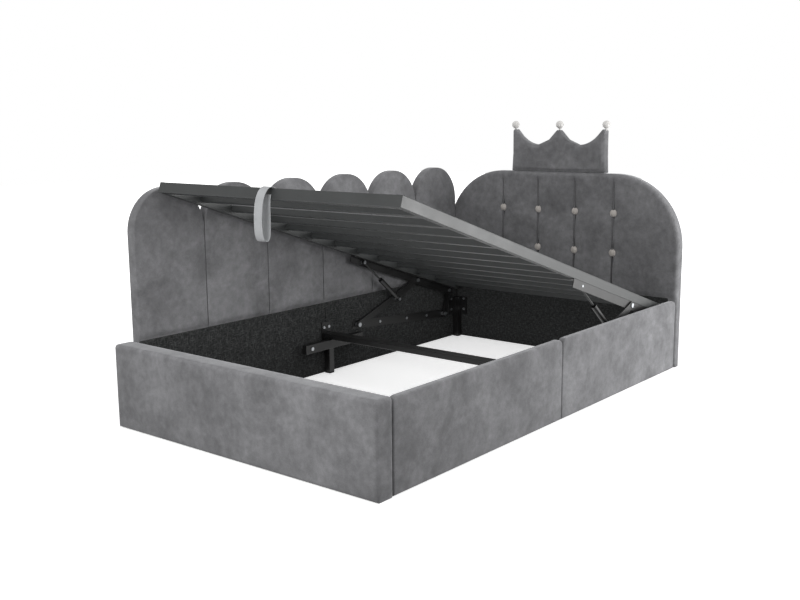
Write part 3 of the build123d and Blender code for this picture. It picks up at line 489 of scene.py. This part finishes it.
def seam_shade_strip(mesh_data, across, through, up):
    """A flat dark strip between two pads that stands for a seam's thread and its painted shade, by its
    limits on the three axes.
    """
    middle = Vector([(low + high) / 2 for low, high in (across, through, up)])
    size = Vector([high - low for low, high in (across, through, up)])
    placed = Matrix.Translation(middle) @ Matrix.Diagonal(size).to_4x4()
    bmesh.ops.create_cube(mesh_data, size=1, matrix=placed)


def turned(mesh_data, profile, origin, axis, sides):
    """A turned form: a profile of radius and height spun about an axis."""
    turn = axis.to_track_quat("Z", "Y").to_matrix().to_4x4()
    lift = Matrix.Translation(origin) @ turn
    rows = []
    for n in range(sides + 1):
        angle = 2 * math.pi * (n % sides) / sides
        rows.append([lift @ Vector((r * math.cos(angle), r * math.sin(angle), h)) for r, h in profile])
    lay_grid(mesh_data, rows)


def hand_worked(a, b, seed, size=0.25, height=0.0012):
    """Slow unevenness of foam under cloth, in metres."""
    return height * noise.noise(Vector((a / size, b / size, seed)))


class DAYBED_OT_finishes(bpy.types.Operator):
    """Make every cloth, coat and metal of the bed"""

    bl_idname = "day_bed.finishes"
    bl_label = "Finishes"

    def execute(self, context):
        colours = context.scene.day_bed_colours
        short_pile_velvet(colours)
        melange_lining(colours)
        powder_coat("powder_coat_satin_grey", colours.frame_coat, 0.42, 0.10)
        powder_coat("powder_coat_black", colours.black_coat, 0.38, 0.15)
        powder_coat("moulded_nylon_black", colours.black_coat, 0.6, 0.08)
        zinc_plate()
        birch_plywood()
        pearl_lacquer(colours)
        button_satin(colours)
        strap_webbing(colours)
        seam_shade_thread(colours)
        return {"FINISHED"}


class DAYBED_OT_footboard(bpy.types.Operator):
    """Build the thick padded footboard"""

    bl_idname = "day_bed.footboard"
    bl_label = "Footboard"

    def execute(self, context):
        sizes = context.scene.day_bed_sizes
        half = (FOOT_HIGH.y - FOOT_LOW.y) / 2
        height = FOOT_HIGH.z
        depth = FOOT_HIGH.x - FOOT_LOW.x
        middle = (FOOT_HIGH.y + FOOT_LOW.y) / 2
        edge = sizes.foam_edge

        def place(a, b, c):
            return Vector((FOOT_HIGH.x - c, middle + a, b))

        def relief(a, b):
            rise = smooth_step(0, 0.09, half - abs(a)) * smooth_step(0, 0.07, min(b, height - b))
            return 0.003 * rise - 0.0012 + hand_worked(a, b, 3.1)

        pad = bmesh.new()
        upright_pad(pad, place, half, height, edge, depth, edge, edge, relief, sizes.mesh_step)
        close_up(pad)
        piece = make_object(pad, "footboard_padding", finish_named("velvet_short"), "base",
                            ("footboard_cover",))
        return {"FINISHED"}


class DAYBED_OT_front_rail(bpy.types.Operator):
    """Build the two thinly padded panels of the front rail"""

    bl_idname = "day_bed.front_rail"
    bl_label = "Front rail"

    def execute(self, context):
        sizes = context.scene.day_bed_sizes
        for end, seed in (("foot", 7.7), ("head", 12.2)):
            node = "front_rail_cover_" + end
            low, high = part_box(node)
            half = (high.x - low.x) / 2
            middle = (high.x + low.x) / 2
            height = high.z

            def place(a, b, c):
                return Vector((middle + a, high.y - c, b))

            def relief(a, b):
                rise = smooth_step(0, 0.06, half - abs(a)) * smooth_step(0, 0.05, min(b, height - b))
                return 0.0022 * rise - 0.001 + hand_worked(a, b, seed, 0.3, 0.001)

            pad = bmesh.new()
            upright_pad(pad, place, half, height, 0.026, high.y - low.y, sizes.rail_edge, 0.004, relief,
                        sizes.mesh_step)
            close_up(pad)
            piece = make_object(pad, "front_rail_padding_" + end, finish_named("velvet_short"), "base",
                                (node,))
        return {"FINISHED"}


class DAYBED_OT_back(bpy.types.Operator):
    """Build the scalloped back: three domed channels a half, and the plain lining below them"""

    bl_idname = "day_bed.back"
    bl_label = "Scalloped back"

    def execute(self, context):
        sizes = context.scene.day_bed_sizes
        for end in ("foot", "head"):
            node = "back_board_cover_" + end
            low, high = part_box(node)
            lining_low, lining_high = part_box("back_lining_" + end)
            pitch = (high.x - low.x + PANEL_GAP) / 3
            half = pitch / 2 - SEAM_GAP / 2
            height = high.z
            depth = high.y - low.y
            edge = sizes.channel_edge
            board = high.y - lining_high.y
            top = height - half
            lower = spread(edge, lining_high.z - 0.03, 0.03)
            lip = [lining_high.z + d for d in (-0.02, -0.008, -0.0015, 0.0015, 0.005, 0.011, 0.02, 0.034)]
            rows = lower + lip + spread(lining_high.z + 0.05, top, sizes.mesh_step)
            pad = bmesh.new()
            for n in range(3):
                middle = low.x + pitch * (n + 0.5) - PANEL_GAP / 2
                seed = 21.0 + 3.3 * n + (40 if end == "head" else 0)

                def place(a, b, c):
                    return Vector((middle + a, high.y - c, b))

                def relief(a, b):
                    out = abs(a) if b < top else math.hypot(a, b - top)
                    share = min(1.0, out / half)
                    fall = -sizes.seam_depth * 0.8 * share ** 4
                    pucker = 0.0008 * math.sin(b * 92 + seed) * smooth_step(0.82, 1.0, share)
                    full = fall + pucker + hand_worked(a, b, seed, 0.16, 0.0022) * (1 - share ** 4)
                    behind = board - depth - 0.0006
                    under = smooth_step(lining_high.z - 0.001, lining_high.z + 0.022, b)
                    return min(full, behind) * (1 - under) + full * under

                upright_pad(pad, place, half, height, half, depth, edge, 0.006, relief, sizes.mesh_step,
                            rows=rows)
            close_up(pad)
            # Dark strips sunk in the gaps between channels: the seam's thread and painted shade in the gaps
            seams = bmesh.new()
            for n in (1, 2):
                join = low.x + pitch * n - PANEL_GAP / 2
                seam_shade_strip(seams, (join - 0.004, join + 0.004),
                           (high.y - depth + 0.010, high.y - depth + 0.018),
                           (LINING_TOP + 0.024, top + 0.02))
            make_object(seams, "back_seams_" + end, finish_named("bonded"), "base")
            piece = make_object(pad, "back_channels_" + end, finish_named("velvet_short"), "base",
                                (node,))

            def lining_place(a, b, c):
                return Vector(((lining_low.x + lining_high.x) / 2 + a, lining_high.y - c, b))

            def lining_relief(a, b):
                return hand_worked(a, b, 77.0, 0.3, 0.0004)

            cover = bmesh.new()
            upright_pad(cover, lining_place, (lining_high.x - lining_low.x) / 2, lining_high.z, 0.004,
                        lining_high.y - lining_low.y, 0.003, 0.001, lining_relief, 0.03)
            close_up(cover)
            band = make_object(cover, "back_lining_cloth_" + end, finish_named("linen_look"), "base",
                               ("back_lining_" + end,))
        return {"FINISHED"}


class DAYBED_OT_headboard(bpy.types.Operator):
    """Build the headboard's padding with four seams and eight tufts"""

    bl_idname = "day_bed.headboard"
    bl_label = "Headboard"

    def execute(self, context):
        sizes = context.scene.day_bed_sizes
        half = (HEAD_HIGH.y - HEAD_LOW.y) / 2
        height = HEAD_HIGH.z
        depth = HEAD_HIGH.x - HEAD_LOW.x
        corner = 0.328
        edge = sizes.head_edge
        seams = [BUTTON_PITCH * (n - 1.5) for n in range(4)]
        step = sizes.mesh_step * 0.75
        close = (0.0, 0.0015, 0.0035, 0.007, 0.012, 0.019, 0.028)
        columns = with_seams(spread(-(half - corner), half - corner, step), seams, close)
        rows = with_seams(spread(edge, height - corner, step), BUTTON_HEIGHTS[:1],
                          (0.0, 0.006, 0.012, 0.02))

        def place(a, b, c):
            return Vector((HEAD_HIGH.x - c, a, b))

        def rim(a, b):
            """Distance to the outline from a point across and up."""
            across, up = abs(a) - (half - corner), b - (height - corner)
            if across > 0 and up > 0:
                return corner - math.hypot(across, up)
            return min(half - abs(a), height - b)

        def relief(a, b):
            near = min(abs(a - s) for s in seams)
            inside = abs(a) < seams[-1]
            span = BUTTON_PITCH / 2 if inside else 0.15
            away = min(1.0, near / span)
            fade = smooth_step(0.0, 0.05, rim(a, b) - edge * 0.4)
            fall = -sizes.seam_depth * (1 - away) ** 2.6
            crease = -0.009 * math.exp(-(near / 0.0034) ** 2)
            tuft = 0.0
            for z in BUTTON_HEIGHTS:
                for s in seams:
                    far = math.hypot(a - s, (b - z) * 0.9)
                    if far < 0.13:
                        angle = math.atan2(b - z, a - s)
                        pleat = 0.0011 * math.cos(6 * angle) * math.exp(-((far - 0.032) / 0.02) ** 2)
                        tuft += -sizes.tuft_depth * math.exp(-(far / 0.030) ** 1.6) + pleat
                if abs(a) < seams[-1] + 0.02:
                    tuft -= 0.0022 * math.exp(-((b - z) / 0.030) ** 2)
            soft = hand_worked(a, b, 55.0, 0.17, 0.0022)
            # Below the lining's top the padding is drawn back 5 mm behind the dark sheet of painted shade
            above = smooth_step(LINING_TOP - 0.002, LINING_TOP + 0.018, b)
            full = (fall + crease * smooth_step(LINING_TOP + 0.02, LINING_TOP + 0.035, b)) * fade
            full += max(tuft, -0.0115) + soft * fade - 0.0006
            return full * above - 0.005 * (1 - above)

        pad = bmesh.new()
        upright_pad(pad, place, half, height, corner, depth, edge, 0.008, relief, step, columns=columns,
                    rows=rows)
        close_up(pad)
        # Dark strips at the bottom of the four creases: the seam's thread and painted shade in the creases
        shade_strips = bmesh.new()
        for s in seams:
            seam_shade_strip(shade_strips, (HEAD_LOW.x + 0.011, HEAD_LOW.x + 0.018), (s - 0.0028, s + 0.0028),
                       (LINING_TOP + 0.03, height - 0.03))
        make_object(shade_strips, "headboard_seams", finish_named("bonded"), "base")

        # A dark linen-look sheet over the headboard's lower inside: painted shade where the velvet lies in
        # the frame's shadow
        def lining_place(a, b, c):
            return Vector((HEAD_LOW.x + 0.0062 - c, (FOOT_HIGH.y + FOOT_LOW.y) / 2 + a, b))

        cover = bmesh.new()
        upright_pad(cover, lining_place, SHADE_CLOTH_HALF_WIDTH, LINING_TOP, 0.004, 0.004, 0.002, 0.001,
                    lambda a, b: 0.0, 0.04)
        close_up(cover)
        band = make_object(cover, "headboard_lining_cloth", finish_named("linen_look"), "base")
        piece = make_object(pad, "headboard_padding", finish_named("velvet_short"), "base",
                            ("headboard_cover",))
        return {"FINISHED"}


class DAYBED_OT_buttons(bpy.types.Operator):
    """Build the eight covered buttons in their tufts"""

    bl_idname = "day_bed.buttons"
    bl_label = "Headboard buttons"

    def execute(self, context):
        _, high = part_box("headboard_buttons")
        form = bmesh.new()
        profile = [(0.0, 0.0), (13, 0.0), (16.2, 1.2), (17.6, 3.2), (18.0, 5.2), (17.2, 7.4), (15.0, 9.6),
                   (11.6, 11.4), (7.4, 12.6), (3.4, 13.2), (0.0, 13.3)]
        for z in BUTTON_HEIGHTS:
            for n in range(4):
                origin = Vector((high.x, BUTTON_PITCH * (n - 1.5), z))
                turned(form, [(r * MM, h * MM) for r, h in profile], origin, Vector((-1, 0, 0)), 28)
        bmesh.ops.remove_doubles(form, verts=form.verts, dist=1e-6)
        bmesh.ops.recalc_face_normals(form, faces=form.faces)
        piece = make_object(form, "covered_buttons", finish_named("satin_covered"), "base",
                            ("headboard_buttons",))
        return {"FINISHED"}


def valley_end(valley, top, angle):
    """Where a round valley turns into the straight slope that climbs to top."""
    run, rise = abs(top[0] - valley[0]), top[1] - valley[1]
    radius = (run * math.tan(angle) - rise) / (1 / math.cos(angle) - 1)
    side = 1 if top[0] > valley[0] else -1
    return (valley[0] + side * radius * math.sin(angle), valley[1] + radius * (1 - math.cos(angle))), radius


def crown_outline(inset):
    """The crown's outline across and up, in metres, drawn in by an inset."""
    half, foot, tip = 257.5 - inset, 878, 1083 - 1.3 * inset
    tip_round, peak_round, slope = 8.5, 11.0, math.radians(44)
    valley = (110, 1013 - inset)
    mid = half - tip_round
    leave = (mid - tip_round * math.sin(slope), tip - tip_round * (1 - math.cos(slope)))
    peak = (0, tip + peak_round * 0.41)
    outer_end, outer_radius = valley_end(valley, leave, slope)
    inner_end, inner_radius = valley_end(valley, peak, math.radians(45))
    side = []
    centre = (0, tip - peak_round)
    for angle in spread(0, math.radians(45), 0.3):
        side.append((centre[0] + peak_round * math.sin(angle), centre[1] + peak_round * math.cos(angle)))
    start = side[-1]
    side += [(start[0] + (inner_end[0] - start[0]) * t, start[1] + (inner_end[1] - start[1]) * t)
             for t in (0.33, 0.66)]
    for angle in spread(math.radians(45), 0, 0.1):
        side.append((valley[0] - inner_radius * math.sin(angle),
                     valley[1] + inner_radius * (1 - math.cos(angle))))
    for angle in spread(0, slope, 0.07)[1:]:
        side.append((valley[0] + outer_radius * math.sin(angle),
                     valley[1] + outer_radius * (1 - math.cos(angle))))
    side += [((outer_end[0] + leave[0]) / 2, (outer_end[1] + leave[1]) / 2)]
    for angle in spread(-slope, math.pi / 2, 0.3):
        side.append((mid + tip_round * math.sin(angle), tip - tip_round + tip_round * math.cos(angle)))
    side.append((half, foot))
    points = side + [(-y, z) for y, z in reversed(side[1:])]
    return [Vector((y * MM, z * MM)) for y, z in points]


class DAYBED_OT_crown(bpy.types.Operator):
    """Build the padded crown and swell its cover as cloth"""

    bl_idname = "day_bed.crown"
    bl_label = "Crown"

    def execute(self, context):
        sizes = context.scene.day_bed_sizes
        inset = 1.6
        outline = crown_outline(inset)
        front, back = CROWN_LOW.x + inset * MM, CROWN_HIGH.x - 1 * MM
        form = bmesh.new()
        near = [form.verts.new((front, p.x, p.y)) for p in outline]
        far = [form.verts.new((back, p.x, p.y)) for p in outline]
        form.faces.new(near)
        form.faces.new(list(reversed(far)))
        for n in range(len(outline)):
            m = (n + 1) % len(outline)
            form.faces.new((near[n], near[m], far[m], far[n]))
        bmesh.ops.recalc_face_normals(form, faces=form.faces)
        piece = make_object(form, "crown_padding", finish_named("velvet_short"), "base",
                            ("crown_cover",))
        remesh = piece.modifiers.new("even_faces", "REMESH")
        remesh.mode = "VOXEL"
        remesh.voxel_size = 3.6 * MM
        apply_all(piece)
        start = [v.co.copy() for v in piece.data.vertices]
        standing = [v.index for v in piece.data.vertices
                    if v.normal.z < -0.75 and v.co.z < CROWN_LOW.z + 4 * MM]
        if sizes.crown_steps == 0:
            relax = piece.modifiers.new("relax", "SMOOTH")
            relax.factor, relax.iterations = 0.5, 2
            apply_all(piece)
            for v in piece.data.vertices:
                v.co += v.normal * 1.4 * MM
        else:
            swell(context, piece, sizes.crown_steps)
        underside = CROWN_LOW.z + 0.3 * MM
        for v, p in zip(piece.data.vertices, start):
            move = v.co - p
            if move.length > 6 * MM:
                v.co = p + move.normalized() * 6 * MM
            v.co.x = min(v.co.x, CROWN_HIGH.x)
            v.co.z = max(v.co.z, underside)
        for number in standing:
            piece.data.vertices[number].co.z = underside
        relax = piece.modifiers.new("relax", "SMOOTH")
        relax.factor, relax.iterations = 0.5, 2
        finer = piece.modifiers.new("finer", "SUBSURF")
        finer.levels = finer.render_levels = 1
        apply_all(piece)
        piece.data.shade_smooth()
        return {"FINISHED"}


def apply_all(piece):
    """Bake a piece's modifiers into its mesh."""
    depsgraph = bpy.context.evaluated_depsgraph_get()
    baked = bpy.data.meshes.new_from_object(piece.evaluated_get(depsgraph))
    finishes = list(piece.data.materials)
    piece.modifiers.clear()
    old = piece.data
    piece.data = baked
    baked.materials.clear()
    for finish in finishes:
        baked.materials.append(finish)
    bpy.data.meshes.remove(old)
    bpy.context.view_layer.update()


def swell(context, piece, steps):
    """Run cloth with inner pressure for a few steps and keep the result."""
    cloth = piece.modifiers.new("foam_pressure", "CLOTH")
    cloth.settings.use_pressure = True
    cloth.settings.uniform_pressure_force = 4.0
    cloth.settings.effector_weights.gravity = 0.0
    cloth.settings.quality = 6
    cloth.settings.tension_stiffness = 40
    cloth.settings.bending_stiffness = 4
    for number in range(1, steps + 1):
        context.scene.frame_set(number)
    apply_all(piece)
    context.scene.frame_set(1)


class DAYBED_OT_pearls(bpy.types.Operator):
    """Build the three lacquered balls on the crown's points"""

    bl_idname = "day_bed.pearls"
    bl_label = "Crown pearls"

    def execute(self, context):
        low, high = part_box("crown_pearls")
        radius = (high.x - low.x) / 2
        middle_x = (low.x + high.x) / 2
        centre_z = high.z - radius
        ball = [(0.0, low.z - centre_z), (4.4 * MM, low.z - centre_z), (4.4 * MM, -radius - 0.6 * MM)]
        for angle in spread(math.radians(-76), math.radians(90), math.radians(9)):
            ball.append((radius * math.cos(angle), radius * math.sin(angle)))
        form = bmesh.new()
        for y in (low.y + radius, 0.0, high.y - radius):
            turned(form, ball, Vector((middle_x, y, centre_z)), Vector((0, 0, 1)), 40)
        bmesh.ops.remove_doubles(form, verts=form.verts, dist=1e-6)
        bmesh.ops.recalc_face_normals(form, faces=form.faces)
        make_object(form, "crown_balls", finish_named("pearl_lacquer"), "base", ("crown_pearls",))
        return {"FINISHED"}


def rounded_path(points, times):
    """Cut the corners of a path a few times over, keeping its ends."""
    for _ in range(times):
        cut = [points[0]]
        for p, q in zip(points, points[1:]):
            cut += [p.lerp(q, 0.25), p.lerp(q, 0.75)]
        points = cut + [points[-1]]
    return points


class DAYBED_OT_strap(bpy.types.Operator):
    """Build the pull strap at the foot of the frame"""

    bl_idname = "day_bed.strap"
    bl_label = "Pull strap"

    def execute(self, context):
        low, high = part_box("pull_strap")
        middle = (low.y + high.y) / 2
        width = high.y - low.y
        turns = [(-865.6, 908.2), (-905, 923.3), (-938, 880), (-946, 800), (-940, 738), (-908, 734),
                 (-904.4, 800), (-904.4, 872), (-898.6, 892)]
        path = rounded_path([Vector((x * MM, z * MM)) for x, z in turns], 4)
        section = [(-0.5, 0.0), (-0.47, 0.42), (-0.42, 0.5), (-0.2, 0.46), (0.0, 0.45), (0.2, 0.46),
                   (0.42, 0.5), (0.47, 0.42), (0.5, 0.0), (0.47, -0.42), (0.42, -0.5), (0.2, -0.46),
                   (0.0, -0.45), (-0.2, -0.46), (-0.42, -0.5), (-0.47, -0.42)]
        form = bmesh.new()
        layer = form.loops.layers.uv.new("along")
        rings, lengths, gone = [], [], 0.0
        for n, p in enumerate(path):
            ahead = path[min(n + 1, len(path) - 1)] - path[max(n - 1, 0)]
            side = Vector((-ahead.y, ahead.x)).normalized()
            gone += (p - path[n - 1]).length if n else 0.0
            lengths.append(gone)
            rings.append([form.verts.new((p.x + side.x * v * 2.8 * MM, middle + u * width,
                                          p.y + side.y * v * 2.8 * MM)) for u, v in section])
        count = len(section)
        for n in range(len(rings) - 1):
            for k in range(count):
                m = (k + 1) % count
                face = form.faces.new((rings[n][k], rings[n][m], rings[n + 1][m], rings[n + 1][k]))
                corners = ((n, k), (n, k + 1), (n + 1, k + 1), (n + 1, k))
                for loop, (along, across) in zip(face.loops, corners):
                    loop[layer].uv = (lengths[along], across / count * 2 * width)
        form.faces.new(rings[0])
        form.faces.new(list(reversed(rings[-1])))
        bmesh.ops.recalc_face_normals(form, faces=form.faces)
        make_object(form, "webbing_strap", finish_named("polyester_webbing"), "lift_frame",
                    ("pull_strap",))
        return {"FINISHED"}


class DAYBED_OT_steel(bpy.types.Operator):
    """Give every steel, plastic and wooden solid its finish"""

    bl_idname = "day_bed.steel"
    bl_label = "Steel finishes"

    def execute(self, context):
        coats = {
            "frame_paint": finish_named("powder_coat_satin"),
            "black_steel": finish_named("powder_coat_black"),
            "bright_steel": finish_named("zinc_plated"),
            "plastic": finish_named("moulded_nylon"),
            "board": finish_named("birch_plywood"),
        }
        slots = {s["node"]: s["material_slot"] for s in frame["record"]["subparts"]}
        for name, solid in NODES.items():
            finish = coats.get(slots[name])
            if finish is None:
                continue
            if not solid.material_slots:
                solid.data.materials.append(finish)
            for spot in solid.material_slots:
                spot.material = finish
        return {"FINISHED"}


class DAYBED_OT_stage(bpy.types.Operator):
    """Set the pale floor, the soft lights and the camera"""

    bl_idname = "day_bed.stage"
    bl_label = "Stage"

    def execute(self, context):
        scene = context.scene
        scene.view_settings.view_transform = "Standard"

        finish, tree, output = new_finish("studio_floor_painted")
        rays = add_node(tree, "ShaderNodeLightPath")
        seen = add_node(tree, "ShaderNodeMath",
                        {0: rays.outputs["Is Camera Ray"], 1: rays.outputs["Is Glossy Ray"]},
                        operation="MAXIMUM")
        seen = add_node(tree, "ShaderNodeMath",
                        {0: seen.outputs["Value"], 1: rays.outputs["Is Transmission Ray"]},
                        operation="MAXIMUM")
        bright = add_node(tree, "ShaderNodeBsdfDiffuse", {"Color": WHITE})
        # The floor brightens away from the bed, so that it runs into the white of the studio
        spot = add_node(tree, "ShaderNodeTexCoord").outputs["Object"]
        away = add_node(tree, "ShaderNodeVectorMath", {0: spot}, operation="LENGTH").outputs["Value"]
        level = add_node(tree, "ShaderNodeMapRange",
                         {"Value": away, "From Min": 1.4, "From Max": 3.4, "To Min": 0.5, "To Max": 1.0})
        glow = add_node(tree, "ShaderNodeEmission",
                        {"Color": WHITE, "Strength": level.outputs["Result"]})
        lit = add_node(tree, "ShaderNodeAddShader",
                       {0: bright.outputs["BSDF"], 1: glow.outputs["Emission"]})
        plain = add_node(tree, "ShaderNodeBsdfDiffuse", {"Color": (0.2, 0.2, 0.2, 1.0)})
        mixed = add_node(tree, "ShaderNodeMixShader",
                         {0: seen.outputs["Value"], 1: plain.outputs["BSDF"], 2: lit.outputs["Shader"]})
        tree.links.new(mixed.outputs["Shader"], output.inputs["Surface"])
        ground = bmesh.new()
        bmesh.ops.create_grid(ground, x_segments=1, y_segments=1, size=14)
        mesh = bpy.data.meshes.new("studio_floor")
        ground.to_mesh(mesh)
        ground.free()
        floor = bpy.data.objects.new("studio_floor", mesh)
        floor.location.z = -0.0005
        scene.collection.objects.link(floor)
        mesh.materials.append(finish)

        world = bpy.data.worlds.new("studio_air")
        scene.world = world
        world.use_nodes = True
        sky = world.node_tree
        sky.nodes.clear()
        out = add_node(sky, "ShaderNodeOutputWorld")
        rays = add_node(sky, "ShaderNodeLightPath")
        seen = add_node(sky, "ShaderNodeMath",
                        {0: rays.outputs["Is Camera Ray"], 1: rays.outputs["Is Transmission Ray"]},
                        operation="MAXIMUM")
        soft = add_node(sky, "ShaderNodeBackground", {"Color": WHITE, "Strength": 0.76})
        white = add_node(sky, "ShaderNodeBackground", {"Color": WHITE, "Strength": 1.0})
        mixed = add_node(sky, "ShaderNodeMixShader",
                         {0: seen.outputs["Value"], 1: soft.outputs["Background"],
                          2: white.outputs["Background"]})
        sky.links.new(mixed.outputs["Shader"], out.inputs["Surface"])

        for name, spot, aim, size, power in (
                ("foot_panel", (-3.2, -0.4, 1.2), (-1.0, 0.0, 0.3), 1.2, 28),
                ("rail_panel", (1.5, -2.6, 0.6), (0.6, -0.64, 0.15), 1.2, 48)):
            lamp = bpy.data.lights.new(name, "AREA")
            lamp.size = size
            lamp.energy = power
            holder = bpy.data.objects.new(name, lamp)
            holder.location = spot
            holder.rotation_euler = (Vector(aim) - Vector(spot)).to_track_quat("-Z", "Y").to_euler()
            scene.collection.objects.link(holder)

        lens = bpy.data.cameras.new("studio_camera")
        lens.sensor_width = 36.0
        lens.lens = 45.6
        lens.clip_end = 60
        camera = bpy.data.objects.new("studio_camera", lens)
        yaw, pitch, roll = 0.6802, -0.1786, -0.0078
        ahead = Vector((math.cos(pitch) * math.cos(yaw), math.cos(pitch) * math.sin(yaw), math.sin(pitch)))
        right = Vector((math.sin(yaw), -math.cos(yaw), 0.0))
        up = right.cross(ahead)
        turn = Matrix((right, up, -ahead)).transposed().to_4x4()
        stand = Matrix.Translation((-3.2813, -2.5122, 1.1452))
        camera.matrix_world = stand @ turn @ Matrix.Rotation(roll, 4, "Z")
        scene.collection.objects.link(camera)
        scene.camera = camera
        return {"FINISHED"}


STEPS = (
    DAYBED_OT_finishes, DAYBED_OT_stage, DAYBED_OT_footboard, DAYBED_OT_front_rail, DAYBED_OT_back,
    DAYBED_OT_headboard, DAYBED_OT_buttons, DAYBED_OT_crown, DAYBED_OT_pearls, DAYBED_OT_strap,
    DAYBED_OT_steel,
)


class DAYBED_PT_panel(bpy.types.Panel):
    """Sizes, colours and steps of the day bed"""

    bl_idname = "DAYBED_PT_panel"
    bl_label = "Day bed"
    bl_space_type = "VIEW_3D"
    bl_region_type = "UI"
    bl_category = "Day bed"

    def draw(self, context):
        for group in (context.scene.day_bed_sizes, context.scene.day_bed_colours):
            box = self.layout.box()
            for name in group.__annotations__:
                box.prop(group, name)
        for step in STEPS:
            self.layout.operator(step.bl_idname)


CLASSES = (DayBedSizes, DayBedColours) + STEPS + (DAYBED_PT_panel,)


def register():
    """Add the classes and the scene's two groups of settings."""
    for cls in CLASSES:
        bpy.utils.register_class(cls)
    bpy.types.Scene.day_bed_sizes = PointerProperty(type=DayBedSizes)
    bpy.types.Scene.day_bed_colours = PointerProperty(type=DayBedColours)


def unregister():
    """Take them away again."""
    del bpy.types.Scene.day_bed_colours
    del bpy.types.Scene.day_bed_sizes
    for cls in reversed(CLASSES):
        bpy.utils.unregister_class(cls)


def main():
    """Build the whole bed in order."""
    register()
    for step in STEPS:
        group, name = step.bl_idname.split(".")
        getattr(getattr(bpy.ops, group), name)()


if __name__ == "__main__":
    main()
